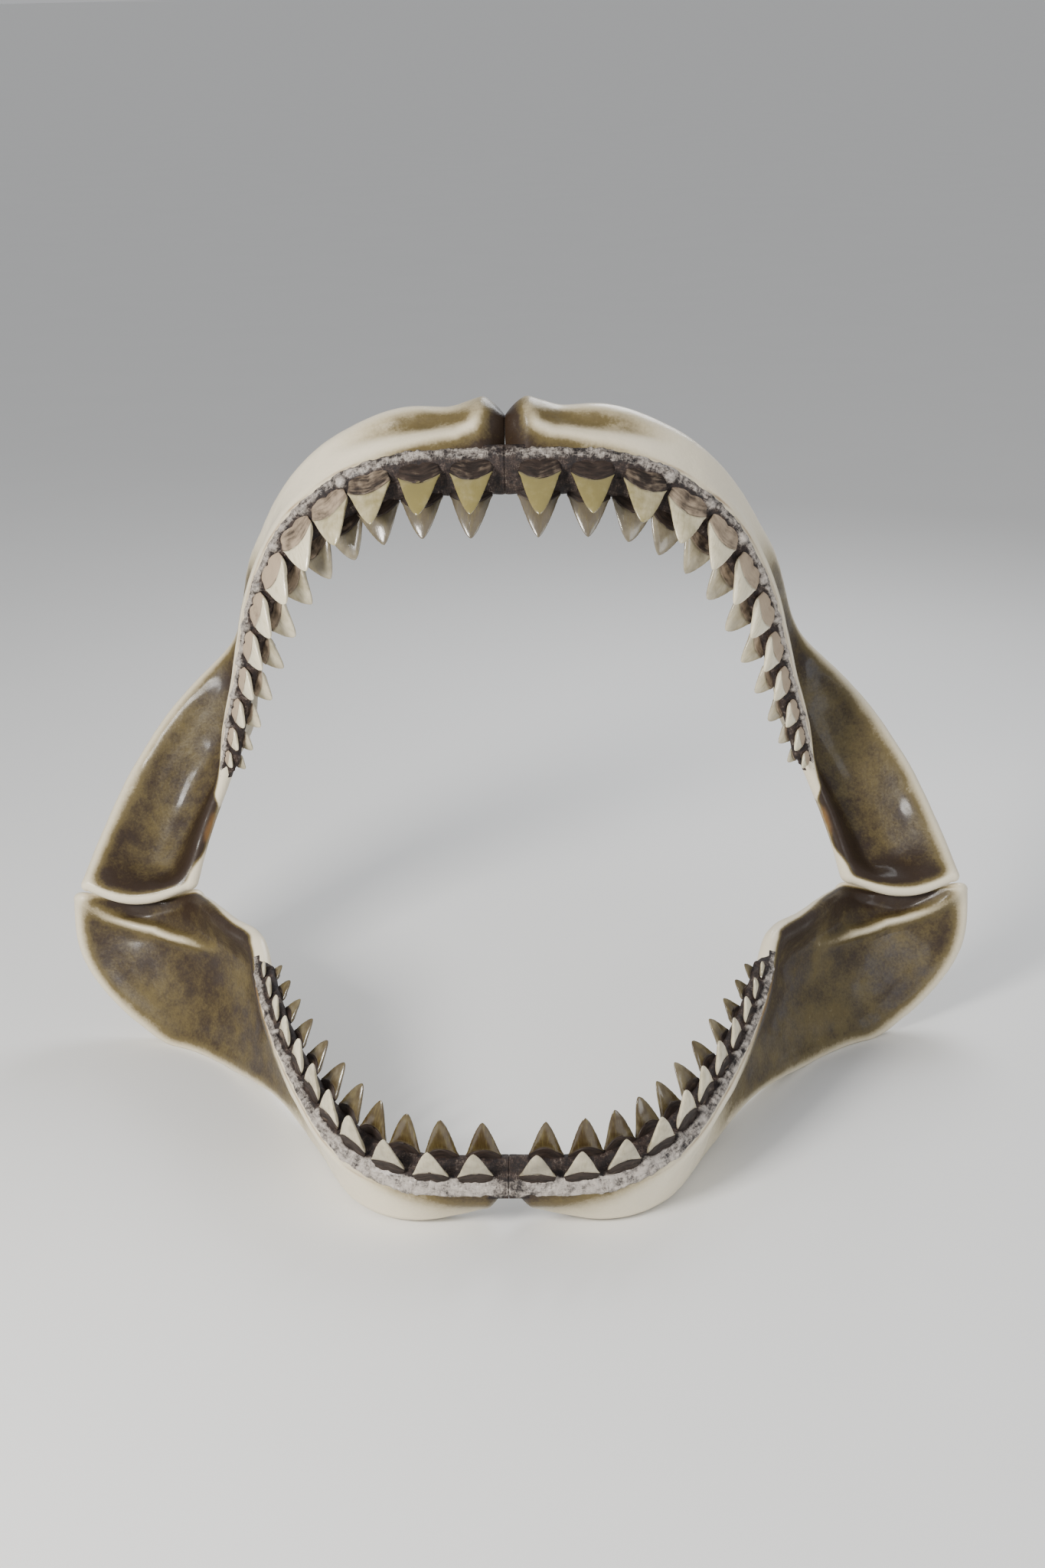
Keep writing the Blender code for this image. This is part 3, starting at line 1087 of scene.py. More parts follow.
    def around(self, share: np.ndarray) -> tuple[np.ndarray, ...]:
        """The points round a section, from the edge's crest over the outer face and back.

        Args:
            share: The web's points, as shares of the way from edge to rim.

        Returns:
            For each point its share of that way, 1 on the outer face to -1 on the inner, and how
            far round the edge's bead and round the rim's bead it is.
        """
        turns = self.quarter()
        cos = np.cos(turns)
        flat, none = np.zeros(self.WEB_POINTS), np.zeros(self.ARC_POINTS)
        share_all = np.concatenate([none, share, none + 1, none[1:] + 1, share[::-1], none[1:]])
        face = np.concatenate([cos[::-1], flat + 1, cos, -cos[-2::-1], flat - 1, -cos[:-1]])
        round_edge = np.concatenate([turns[::-1], flat, none, none[1:], flat, turns[:-1]])
        round_rim = np.concatenate([none, flat, turns, turns[-2::-1], flat, none[1:]])
        return share_all, face, round_edge, round_rim

    def surface(self) -> tuple[np.ndarray, Values]:
        """The cartilage in the flat of its jaw.

        Returns:
            Rings of points, and what is known at each of them: its distance along and from the
            hinge, the distance from edge to rim there, how far across that it is, 1 on the outer
            face to -1 on the inner, and how far it is from the rim, less than 0 past it.
        """
        along, inset, push = self.places()
        f = self.half.frames(along)
        reach = np.linalg.norm(f.rim - f.edge, axis=1)
        to_hinge = self.half.length - along - push
        share = np.linspace(0, 1, self.WEB_POINTS)
        share = smooth_step(share) * self.CROWDING + share * (1 - self.CROWDING)
        line = self.middle_of_web(f, share, to_hinge)
        thick = self.half_thickness(f, share, to_hinge) - inset[:, None]
        lift = f.out[:, None] * np.maximum(thick, self.LEAST)[..., None]
        turns = self.quarter()
        edge_radius = np.maximum(f.edge_radius - inset, self.LEAST)[:, None, None]
        rim_radius = np.maximum(f.rim_radius - inset, self.LEAST)[:, None, None]

        def arc(centre: np.ndarray, radius: np.ndarray, sign: int, ways: np.ndarray) -> np.ndarray:
            """A quarter turn of a bead from the outer (1) or inner (-1) face to its crest."""
            side = f.out[:, None] * (sign * np.cos(turns))[:, None]
            return centre[:, None] + radius * (side + ways[:, None] * np.sin(turns)[:, None])

        outer_edge = arc(f.edge, edge_radius, 1, -f.down)[:, ::-1]
        outer_rim = arc(f.rim, rim_radius, 1, f.down)
        inner_rim = arc(f.rim, rim_radius, -1, f.down)[:, -2::-1]
        inner_edge = arc(f.edge, edge_radius, -1, -f.down)[:, :-1]
        rings = np.concatenate(
            [outer_edge, line + lift, outer_rim, inner_rim, (line - lift)[:, ::-1], inner_edge],
            axis=1,
        )
        rings = rings + (f.back * push[:, None])[:, None]
        share_all, face, round_edge, round_rim = self.around(share)
        shape = rings.shape[:2]

        def spread(value: np.ndarray) -> np.ndarray:
            """A value for each section as one for each point."""
            return np.broadcast_to(value[:, None], shape)

        past_edge = round_edge * spread(f.edge_radius)
        past_rim = round_rim * spread(f.rim_radius)
        return rings, {
            "along": spread(along),
            "to_hinge": spread(to_hinge),
            "face": np.broadcast_to(face, shape),
            "reach": spread(reach),
            "hollow": spread(f.hollow),
            "across": share_all * spread(reach) - past_edge + past_rim,
            "from_rim": (1 - share_all) * spread(reach) - past_rim,
        }

    def build(self) -> None:
        """Makes the cartilage, with the stain and the painted light that its paint follows."""
        rings, known = self.surface()
        normal = normals_of(rings)
        grain = Grain(self.SEED)
        lift = sum(height * grain.at(rings + shift, size) for height, size, shift in self.UNEVEN)
        outer = smooth_step(known["face"], *self.RIDGES_FROM)
        # Raised crests are lightened as painted highlight, and sunken grooves are darkened with
        # stain and painted shade.
        painted_highlight, brown = np.zeros_like(lift), np.zeros_like(lift)
        for ridge in self.ridges:
            relief = outer * ridge.relief(known)
            lift = lift + relief
            mark = np.abs(relief) / max(np.abs(ridge.height))
            painted_highlight = np.maximum(painted_highlight, ridge.painted_highlight * mark)
            brown = np.maximum(brown, ridge.brown * mark)
        rings = rings + normal * lift[..., None]
        rings[..., 0] = np.maximum(rings[..., 0], MIDLINE_GAP / 2)
        outside_gum = self.outside_gum(rings, known)
        stain = np.maximum(self.stain(known, rings, outside_gum) * (1 - painted_highlight), brown)
        values = {"stain": stain, "rust": self.rust(known, outside_gum)}
        skin = Skin.tube(self.half.pose.place(rings, self.side), values)
        self.dress(skin, "cartilage", "jaw", "cartilage")

    def outside_gum(self, rings: np.ndarray, known: Values) -> np.ndarray:
        """How far outside the gum's border the points are.

        Args:
            rings: The points.
            known: What is known at each of them.

        Returns:
            The distance round the edge's bead at each point, less than 0 under the gum.
        """
        along = known["along"][:, 0]
        f = self.half.frames(along)
        off = rings - f.edge[:, None]
        outwards = (off * f.outward[:, None]).sum(-1)
        crestwards = (off * f.crest[:, None]).sum(-1)
        angle = np.degrees(np.arctan2(outwards, crestwards))
        border = self.half.gum_edge(along)[:, None]
        return np.radians(angle - border) * f.edge_radius[:, None]

    def stain(self, known: Values, rings: np.ndarray, outside_gum: np.ndarray) -> np.ndarray:
        """How brown the paint is, with painted shade and painted highlight in it: 0 on the pale
        cream, 1 in the deepest hollows.

        Args:
            known: What is known at each point.
            rings: The points.
            outside_gum: How far outside the gum they are.

        Returns:
            The stain at each point.
        """
        paint, x = self.paint, rings[..., 0]
        outer = smooth_step(known["face"], *self.PAINT_FROM)
        from_edge, from_rim = known["across"], known["from_rim"]
        to_hinge = known["to_hinge"]
        plate = smooth_step(known["hollow"], *paint.plate_from)
        # The beads by the edge and the rim stay pale: cream paint, partly a painted highlight along
        # them.
        bowl = smooth_step(from_edge - self.edge_border(known), -paint.soft, paint.soft)
        bowl = bowl * between((paint.rim_least, 1.0), smooth_step(from_rim, *paint.rim_border))
        bowl = bowl * smooth_step(to_hinge, *paint.hinge_border)
        # Painted shade: darker in the hollow of the plate next to the edge's bead and the hinge.
        near_edge = fade(from_edge, paint.edge_fade)
        near_hinge = fade(to_hinge - paint.hinge_border[1], paint.hinge_fade)
        tone = between(paint.plate_tone, np.maximum(near_edge, near_hinge))
        plate_stain_and_shade = plate * bowl * (outer * tone + (1 - outer) * paint.inner_tone)
        front = smooth_step(x, *paint.front)
        gum = outer * fade(outside_gum, between(paint.gum_fade, front))
        gum = gum * between((paint.side_stain, paint.front_stain), front)
        gum = gum * smooth_step(plate, 1, 0.3)
        # Stain and painted shade in a band under the rim, where the face turns away.
        top = outer * paint.rim_stain * hump(from_rim / known["reach"], *paint.rim_at)
        top = top * (1 - plate) * smooth_step(x, *paint.rim_front)
        middle = paint.middle[0] * hump(x, 0.0, paint.middle[1])
        return np.clip(plate_stain_and_shade + np.maximum(gum, top) + middle, 0, paint.most)

    def edge_border(self, known: Values) -> np.ndarray:
        """How far across from the edge's centre line the plate's stain sets in."""
        beside, after, corner = self.paint.edge_border
        past_gum = smooth_step(known["along"] - self.half.gum_end, *self.paint.after_gum)
        border = between((beside, after), past_gum)
        at_hinge = smooth_step(known["to_hinge"], self.paint.corner_reach, 0.0)
        return border + (corner - border) * at_hinge

    def rust(self, known: Values, outside_gum: np.ndarray) -> np.ndarray:
        """The rust-coloured line along the gum on the outer face, and along the edge behind it.

        Args:
            known: What is known at each point.
            outside_gum: How far outside the gum they are.

        Returns:
            How rusty each point is.
        """
        paint = self.paint
        past_gum = known["along"] - self.half.gum_end
        line = smooth_step(past_gum, 0.0, -paint.line_end)
        line = line * smooth_step(known["along"], *paint.line_from) * (known["face"] > 0)
        line = line * smooth_step(known["from_rim"], 0.0, paint.line_rim)
        behind = paint.edge_rust * smooth_step(past_gum, *paint.rust_after)
        behind = behind * smooth_step(known["to_hinge"], *paint.rust_before)
        behind = behind * hump(known["across"], *paint.rust_at)
        return line * hump(outside_gum, paint.line_off, paint.line_width) + behind


@dataclass(frozen=True)
class ToothPlace:
    """One tooth of the pattern along a half jaw.

    Attributes:
        along: How far along the edge it stands.
        width: Its crown's width at the shoulders.
        height: The crown's height from the shoulders.
    """

    along: float
    width: float
    height: float


@dataclass(frozen=True)
class RowStance:
    """How one row stands and looks, at the front and at the back of the mouth.

    Attributes:
        lean: How far the teeth lean inwards, in degrees.
        round_bead: How far round the edge's bead they stand, outwards of its crest, in degrees.
        yellowed: How yellow their enamel is.
        aged: How grey it is, in part a painted shade on the inner rows.
        browned: How brown it is, in part a painted shade on the lower inner row.
        pale_root: How pale their roots are, in part a painted highlight on the roots towards the
            back.
        scale: The crowns' height, as a share of the pattern's.
        shift: How far the teeth are over to the right on both sides of the mouth, in metres.
    """

    lean: Span
    round_bead: Span
    yellowed: Span
    aged: Span
    browned: Span
    pale_root: Span
    scale: float = 1.0
    shift: Span = (0.0, 0.0)

    BACK_FROM = 6

    def at(self, pair: Span, order: int) -> float:
        """A value between front and back for the tooth of that order."""
        return float(between(pair, smooth_step(order / self.BACK_FROM)))


@dataclass
class ToothShape:
    """The form of one tooth, on its own: x back along the jaw, y outwards, z towards the tip.

    Attributes:
        width: Crown width at the shoulders.
        height: Crown height over them.
        root: Height of the root below them, with what is sunk in the gum.
        slant: How far the tip leans back, as a share of the width.
        point: Below 1 rounds the crown, and 1 leaves its edges straight.
        dip: How far the root reaches up the middle of the crown, as a share of its height.
        seed: Sets its wear.
    """

    width: float
    height: float
    root: float
    slant: float
    point: float
    dip: float
    seed: int

    AROUND = 40
    CORNERING = 0.85  # below 1 the points crowd towards the cutting edges
    BELLIES = (0.070, -0.170)  # how far the outer and the inner face bulge, as shares of the width
    BELLY_ROUND = 0.62
    INNER_RISE = 1.25  # how much higher the root reaches on the inner face
    SPOT_STEP = 0.31  # how far apart the teeth's places in the noise are
    SPOT_TURNS = 13  # after how many seeds they come round again

    CROWN_RINGS = 34
    TIP_CROWDING = 1.5  # above 1 its rings crowd towards the tip
    FLARE = (0.05, 0.06)  # how much wider the shoulders are, and how far up that reaches
    LEAST = (0.0004, 0.0003)  # the least half width and bulge
    THINNING = 0.75  # how closely its thickness follows its width towards the tip
    SWELL = 0.35  # how much fuller it is there all the same
    LINE_FADE = 1.6  # how soon the line's rise is lost towards the tip
    CHIPS = (0.0010, 0.0045)  # depth and size of the wear on the cutting edges
    CHIPS_EDGE = 10  # the higher, the closer it keeps to them
    DENTS = (0.0010, 0.022)  # depth and size of the dents in the faces
    BOW = (0.06, 0.045)  # how far the middle bows out and the tip bends in, by the height
    SLANT_BEND = 1.15  # above 1 the slant grows towards the tip

    ROOT_RINGS = 14
    ROOT_WIDTH = 1.03  # as a share of the crown's
    ROOT_TAPER = (0.07, 0.10)  # how much narrower it gets below the crown, and at its foot
    ROOT_GROOVE = (0.45, 0.20)  # depth and width of the groove down its middle
    ROOT_SWELL = (0.96, 0.35)  # how thick its ends are, and how much thicker it is between
    ROOT_FADE = 0.8  # how much of the line's rise is lost at its foot
    ROOT_DENTS = (0.0014, 0.012)  # depth and size

    def around(self) -> tuple[np.ndarray, np.ndarray, np.ndarray]:
        """The points round a section.

        Returns:
            How far across the tooth each is, from -1 to 1, how far its face bulges there as a
            share of the width, and how far the line between root and crown rises there.
        """
        turn = np.linspace(0, 2 * np.pi, self.AROUND, endpoint=False) + np.pi / 2
        across = -np.cos(turn)
        across = (np.sign(across) * np.abs(across) ** self.CORNERING)[None, :]
        front = (np.sin(turn) > 0)[None, :]
        belly = np.maximum(1 - across**2, 0) ** self.BELLY_ROUND
        belly = belly * np.where(front, *self.BELLIES)
        rise = self.dip * self.height * np.where(front, 1.0, self.INNER_RISE) * (1 - across**2)
        return across, belly, rise

    def spot(self, x: np.ndarray, z: np.ndarray) -> np.ndarray:
        """Places for the paint's noise, apart from every other tooth's."""
        apart = np.full_like(x, self.SPOT_STEP * (self.seed % self.SPOT_TURNS))
        return np.stack([x, z, apart], axis=-1)

    def crown(self) -> tuple[np.ndarray, Values]:
        """The enamel crown.

        Returns:
            Rings of points with z 0 at the shoulders, and the values that its finish reads.
        """
        across, belly, rise = self.around()
        left = (np.linspace(1, 0, self.CROWN_RINGS) ** self.TIP_CROWDING)[:, None]
        up = 1 - left
        flare = 1 + self.FLARE[0] * hump(up, 0.0, self.FLARE[1])
        x = np.maximum(self.width / 2 * left**self.point * flare, self.LEAST[0]) * across
        y = self.width * left ** (self.THINNING * self.point) * (1 + self.SWELL * up) * belly
        y = np.where(np.abs(y) < self.LEAST[1], np.sign(belly) * self.LEAST[1], y)
        over_line = up * self.height + 0 * x
        z = over_line + rise * left**self.LINE_FADE
        wear = Grain(self.seed)
        depth, size = self.CHIPS
        chips = np.abs(wear.at(self.spot(x, z), size)) * np.abs(across) ** self.CHIPS_EDGE
        x = x - np.sign(across) * depth * chips * smooth_step(left, 0.0, 0.1)
        depth, size = self.DENTS
        y = y + depth * wear.at(self.spot(x, z), size) * left
        y = y + self.height * (self.BOW[0] * up * left - self.BOW[1] * up**2)
        spot = self.spot(x, z)
        x = x + self.slant * self.width * up**self.SLANT_BEND
        return np.stack([x, y, z], axis=-1), {"over_line": over_line, "spot": spot}

    def root_part(self) -> tuple[np.ndarray, Values]:
        """The root, with its two lobes.

        Returns:
            Rings of points with z 0 at the shoulders, and the values that its finish reads.
        """
        across, belly, rise = self.around()
        below = np.linspace(1, 0, self.ROOT_RINGS)[:, None]
        waist, foot = self.ROOT_TAPER
        lobes = self.ROOT_WIDTH - waist * smooth_step(below, 0.0, 0.4) - foot * below**3
        x = self.width / 2 * lobes * across
        deep, wide = self.ROOT_GROOVE
        groove = 1 - deep * smooth_step(below, 0.0, 0.5) * hump(across, 0.0, wide)
        y = self.width * (self.ROOT_SWELL[0] + self.ROOT_SWELL[1] * np.sin(np.pi * below))
        y = y * belly * groove
        under_line = -below * self.root + 0 * x
        z = under_line + rise * (1 - self.ROOT_FADE * below)
        wear = Grain(self.seed + 5)
        depth, size = self.ROOT_DENTS
        y = y + depth * wear.at(self.spot(x, z), size) * np.abs(belly) / 0.1
        return np.stack([x, y, z], axis=-1), {"grain": self.spot(x, under_line)}


@dataclass
class TeethSet(Piece):
    """Both rows of standing teeth of a half jaw.

    Attributes:
        pattern: The teeth from the middle of the mouth back.
        rows: How each row stands.
        point: How straight the crowns' edges are.
        dip: How far the roots reach up the crowns.
        root_share: The visible root's height, as a share of the tooth's width.
    """

    pattern: tuple[ToothPlace, ...]
    rows: tuple[RowStance, ...]
    point: float
    dip: float
    root_share: float

    ROOT_SINK = 0.020  # how deep the roots reach into the gum
    SLANT_STEP = 0.03  # how much more each tooth slants than the one before it
    MOST_SLANT = 0.2
    TONES = (("yellowed", 0.14), ("aged", 0.10), ("browned", 0.10))  # how far each varies
    ROOT_TONE = 0.12  # how far the paleness of the roots varies
    WIDTHS = (0.98, 1.03)  # between which shares of the pattern's the widths vary
    SLANTS = (-0.02, 0.02)  # between which values slant, point, dip, turn and tilt do
    POINTS = (-0.06, 0.06)
    DIPS = (0.85, 1.15)
    TURNS = (-2.5, 2.5)
    TILTS = (-1.2, 1.2)

    def stand(
        self, place: ToothPlace, order: int, row: int, turn: float, tilt: float
    ) -> tuple[np.ndarray, ...]:
        """Where a tooth's shoulders are, and which way it faces.

        Args:
            place: Where it stands.
            order: Its number from the middle of the mouth.
            row: 0 for the outer row, 1 for the inner.
            turn: How far it is turned round its own axis, in degrees.
            tilt: How much more it leans inwards, in degrees.

        Returns:
            The middle of its shoulders, and its directions back, outwards and to the tip.
        """
        stance = self.rows[row]
        shift = self.side.value * stance.at(stance.shift, order)
        f = self.half.frames(np.array([place.along + shift]))
        back = unit(np.array([f.edge_back[0, 0], f.edge_back[0, 1], 0.0]))
        outward = np.cross(back, -BITE)
        lean = math.radians(stance.at(stance.lean, order) + tilt)
        angle = math.radians(stance.at(stance.round_bead, order))
        axis = BITE * math.cos(lean) - outward * math.sin(lean)
        face = outward * math.cos(lean) + BITE * math.sin(lean)
        spin = math.radians(turn)
        back, face = (
            back * math.cos(spin) + face * math.sin(spin),
            face * math.cos(spin) - back * math.sin(spin),
        )
        foot = f.edge[0] + f.edge_radius[0] * (
            BITE * math.cos(angle) + outward * math.sin(angle)
        )
        return foot + axis * self.root_share * place.width, back, face, axis

    def tooth(self, place: ToothPlace, order: int, row: int) -> tuple[Skin, Skin]:
        """One tooth, standing on the gum.

        Args:
            place: Where it stands, and its size.
            order: Its number from the middle of the mouth.
            row: 0 for the outer row, 1 for the inner.

        Returns:
            The skins of its crown and its root in the model's frame.
        """
        stance = self.rows[row]
        seed = 100 * order + 10 * row + (5 if self.side is Side.LEFT else 0)
        seed += 1000 if self.half.name == "lower" else 0
        rng = np.random.default_rng(seed)
        slant = min(self.SLANT_STEP * order, self.MOST_SLANT)
        shape = ToothShape(
            place.width * rng.uniform(*self.WIDTHS), place.height * stance.scale,
            self.root_share * place.width + self.ROOT_SINK, slant + rng.uniform(*self.SLANTS),
            self.point + rng.uniform(*self.POINTS), self.dip * rng.uniform(*self.DIPS), seed,
        )
        shoulders, back, face, axis = self.stand(
            place, order, row, rng.uniform(*self.TURNS), rng.uniform(*self.TILTS)
        )

        def placed(points: np.ndarray, values: Values) -> Skin:
            """A part of the tooth, taken to its place."""
            stood = shoulders + points @ np.stack([back, face, axis])
            return Skin.tube(self.half.pose.place(stood, self.side), values)

        points, values = shape.crown()
        for name, spread in self.TONES:
            level = stance.at(getattr(stance, name), order) + rng.uniform(-spread, spread)
            values[name] = np.full(points.shape[:2], level)
        crown = placed(points, values)
        points, values = shape.root_part()
        # Root paleness, in part a painted highlight towards the back.
        level = stance.at(stance.pale_root, order) + rng.uniform(-self.ROOT_TONE, self.ROOT_TONE)
        values["pale_root"] = np.full(points.shape[:2], level)
        return crown, placed(points, values)

    def build(self) -> None:
        """Makes the crowns of both rows as one piece, and their roots as another."""
        parts = [
            self.tooth(place, order, row)
            for row in range(len(self.rows))
            for order, place in enumerate(self.pattern)
        ]
        crowns, roots = zip(*parts)
        self.dress(Skin.joined(crowns), "crowns", "teeth", "teeth")
        self.dress(Skin.joined(roots), "roots", "teeth", "roots")


@dataclass
class Gum(Piece):
    """The ragged gum over the edge of a half jaw: a fibrous border outside, a tall bank inside.

    Attributes:
        pattern: The teeth that it holds.
        strip: How wide the pale border is, in degrees, at the front and at the back.
        pale: How pale it is there, in part painted light: paler where the light falls.
        banks: Its ridges as (degrees round the bead, height, width in degrees).
        knobs_from: From which tooth on there are pale knobs between the teeth.
        knob_height: How high they are.
        inner_angle: Where it ends on the inner face.
        step: Distance between sections.
    """

    pattern: tuple[ToothPlace, ...]
    strip: Span
    pale: Span
    banks: tuple[tuple[float, float, float], ...]
    knobs_from: int = 2
    knob_height: float = 0.009
    inner_angle: float = -115.0
    step: float = 0.0028

    SEED = 29
    AROUND = 88  # points from border to border
    INNER_POINTS = 8  # hidden points behind them
    OVERLAP = 6.0  # how far it runs on below the cartilage's face, in degrees
    TAIL = 0.02  # how far its sections run on past its end
    ENDING = (0.01, -0.05)  # over which distances past its end it runs out
    END_RAGGED = (0.016, 0.013)  # how far the end wanders, and over which size
    END_SINK = 0.20  # by which share of the bead the end shrinks into it
    SKIN = (0.0020, 0.0028)  # how thick it is, and the least with its relief
    SINK = 0.0020  # how deep its borders lie below the cartilage's face
    RISE = (-2.0, 9.0)  # over which degrees inside its border it rises out
    WANDER = ((1.0, (1.0, 0.0, 0.0), 0.030), (0.8, (1.0, 0.4, 0.0), 0.009))  # of its border
    BORDER_WANDER = 3.5  # how far that is, in degrees
    BANK_WANDER = 2.5
    STRIP_FROM = (-3.0, 4.0)  # over which degrees inside its border the pale strip sets in
    STRIP_TO = (7.0, -3.0)  # over which degrees about its width it ends
    LUMPS = (0.020, 0.010, 1.0)  # sizes along and across
    THREADS = (0.0150, 0.0042, 1.0)
    HAIRS = (0.0050, 0.0130, 1.0)
    BENT = 0.008  # how far threads and hairs are bent
    BENDS = ((1.1, 0.019), (2.7, 0.015))  # the noise that bends them, as (shift, size)
    RELIEF = (0.0022, 0.0034, 0.0030, 0.0012)  # of lumps, threads, hairs and the strip itself
    TONES = (0.16, 0.14)  # how much paler threads and hairs are
    KNOB_TONE = 0.75  # how pale the knobs are, in part a painted highlight on them
    KNOB_SIZE = 0.16  # as a share of the teeth's width
    KNOB_SQUAT = 0.9  # how much narrower they are across the bead
    MIDDLE = (0.6, 0.04)  # how much darker it is in the middle, as painted shade, and over which width

    def build(self) -> None:
        """Makes the gum, with the paleness that its finish follows."""
        half = self.half
        first = MIDLINE_GAP / 2 - half.stations[0].edge[0]
        along = np.arange(first, half.gum_end + self.TAIL, self.step)
        f = half.frames(along)
        backness = half.backness(along)[:, None]
        strip = between(self.strip, backness)
        border = half.gum_edge(along)[:, None]
        outermost = border + self.OVERLAP
        share = np.linspace(0, 1, self.AROUND)[None, :]
        angles = outermost + (self.inner_angle - outermost) * share
        arc = np.radians(angles) * f.edge_radius[:, None]
        spot = np.stack([along[:, None] + 0 * arc, arc, 0 * arc], axis=-1)
        grain = Grain(self.SEED)
        wander = sum(part * grain.at(spot * scale, size) for part, scale, size in self.WANDER)
        inward = border - angles + self.BORDER_WANDER * wander
        in_strip = smooth_step(inward, *self.STRIP_FROM)
        in_strip = in_strip * smooth_step(inward - strip, *self.STRIP_TO)
        lumps, threads, hairs = self.fibres(grain, spot)
        knob = self.knob(along, angles, border - strip, f.edge_radius)
        bank = sum(
            high * hump(angles + self.BANK_WANDER * wander, centre, width)
            for centre, high, width in self.banks
        )
        far, size = self.END_RAGGED
        last = along[:, None] + far * grain.at(spot + 5.5, size) - half.gum_end
        end = smooth_step(last, *self.ENDING)
        of_lumps, of_threads, of_hairs, of_strip = self.RELIEF
        relief = of_lumps * lumps
        relief = relief + in_strip * (of_threads * threads + of_hairs * hairs + of_strip)
        height = np.maximum(self.SKIN[0] + (bank + knob) * end + relief, self.SKIN[1])
        rise = smooth_step(inward, *self.RISE) * smooth_step(share, 1.0, 0.9)
        height = height * rise - self.SINK * (1 - rise)
        radius = (f.edge_radius[:, None] * (1 - self.END_SINK * (1 - end)) + height)[..., None]
        turn = np.radians(angles)[..., None]
        surface = f.edge[:, None] + radius * (
            f.crest[:, None] * np.cos(turn) + f.outward[:, None] * np.sin(turn)
        )
        # Painted light on the pale border: paler where the light falls, darker in the middle as
        # painted shade, and pale knobs as painted highlight.
        level, width = self.MIDDLE
        tone = between(self.pale, backness) + self.TONES[0] * threads + self.TONES[1] * hairs
        tone = tone * in_strip * (1 - level * hump(surface[..., 0], 0.0, width))
        tone = np.maximum(tone, self.KNOB_TONE * knob / self.knob_height)
        self.dress(self.closed(surface, {"pale": tone, "spot": spot}), "gum", "teeth", "gum")

    def fibres(self, grain: Grain, spot: np.ndarray) -> tuple[np.ndarray, np.ndarray, np.ndarray]:
        """The relief of the gum, each part from -1 to 1.

        Args:
            grain: The noise that it is read from.
            spot: Places as (along, round the bead, 0).

        Returns:
            Its lumps, the threads along the border and the hairs across it.
        """
        bends = [grain.at(spot + shift, size) for shift, size in self.BENDS]
        bent = spot + self.BENT * np.stack([*bends, 0 * bends[0]], axis=-1)
        return (
            grain.at(spot, self.LUMPS),
            grain.at(bent + 7.7, self.THREADS),
            grain.at(bent + 3.1, self.HAIRS),
        )

    def closed(self, surface: np.ndarray, values: Values) -> Skin:
        """The gum as a closed body, in its place.

        Args:
            surface: Rings of points over the bead, from the outer border to the inner.
            values: Name to a number or a row for each of them.

        Returns:
            The skin, with hidden points that close each ring through the bead.
        """
        share = np.linspace(0, 1, self.INNER_POINTS + 2)[1:-1, None]
        hidden = surface[:, -1:] + (surface[:, :1] - surface[:, -1:]) * share[None]
        rings = np.concatenate([surface, hidden], axis=1)
        rings[..., 0] = np.maximum(rings[..., 0], MIDLINE_GAP / 2)
        padded = {
            name: np.concatenate(
                [value, np.zeros((len(value), self.INNER_POINTS, *value.shape[2:]))], axis=1
            )
            for name, value in values.items()
        }
        return Skin.tube(self.half.pose.place(rings, self.side), padded)

    def knob(
        self, along: np.ndarray, angles: np.ndarray, centre: np.ndarray, radius: np.ndarray
    ) -> np.ndarray:
        """The height of the knobs that stand between the teeth of the outer row.

        Args:
            along: Distance along of each section.
            angles: Degrees round the bead of each point.
            centre: Degrees round the bead of the knobs at each section.
            radius: The bead's radius at each section.

        Returns:
            The height at each point.
        """
        height = np.zeros(angles.shape)
        sideways = np.radians(angles - centre) * radius[:, None]
        for order, (a, b) in enumerate(zip(self.pattern, self.pattern[1:])):
            if order < self.knobs_from:
                continue
            middle = (a.along + b.along) / 2
            size = self.KNOB_SIZE * (a.width + b.width) / 2
            gap = np.hypot((along[:, None] - middle) / size, sideways / (self.KNOB_SQUAT * size))
            height = np.maximum(height, self.knob_height * np.exp(-(gap**3)))
        return height


@dataclass
class Jaw:
    """One jaw: both halves of its cartilage, gums and teeth.

    Attributes:
        half: The shape of its right half, which the left one mirrors.
        ridges, hinge_bow, hinge_dish, paint: As a Cartilage has them.
        pattern, rows, point, dip, root_share: As a TeethSet has them.
        banks, strip: As a Gum has them.
        pale_and_lit_gum: How pale the gum's border is, at the front and at the back, in part
            painted light.
    """

    half: HalfJaw
    ridges: tuple[Ridge, ...]
    hinge_bow: float
    hinge_dish: float
    paint: PaintPlan
    pattern: tuple[ToothPlace, ...]
    rows: tuple[RowStance, ...]
    point: float
    dip: float
    root_share: float
    banks: tuple[tuple[float, float, float], ...]
    strip: Span
    pale_and_lit_gum: Span

    def build(self, finishes: dict[str, bpy.types.Material]) -> None:
        """Makes every piece of the jaw.

        Args:
            finishes: Slot to material.
        """
        for side in Side:
            Cartilage(
                self.half, side, finishes, self.ridges, self.hinge_bow, self.hinge_dish, self.paint
            ).build()
            Gum(
                self.half, side, finishes, self.pattern, self.strip, self.pale_and_lit_gum, self.banks
            ).build()
            TeethSet(
                self.half, side, finishes, self.pattern, self.rows, self.point, self.dip,
                self.root_share,
            ).build()


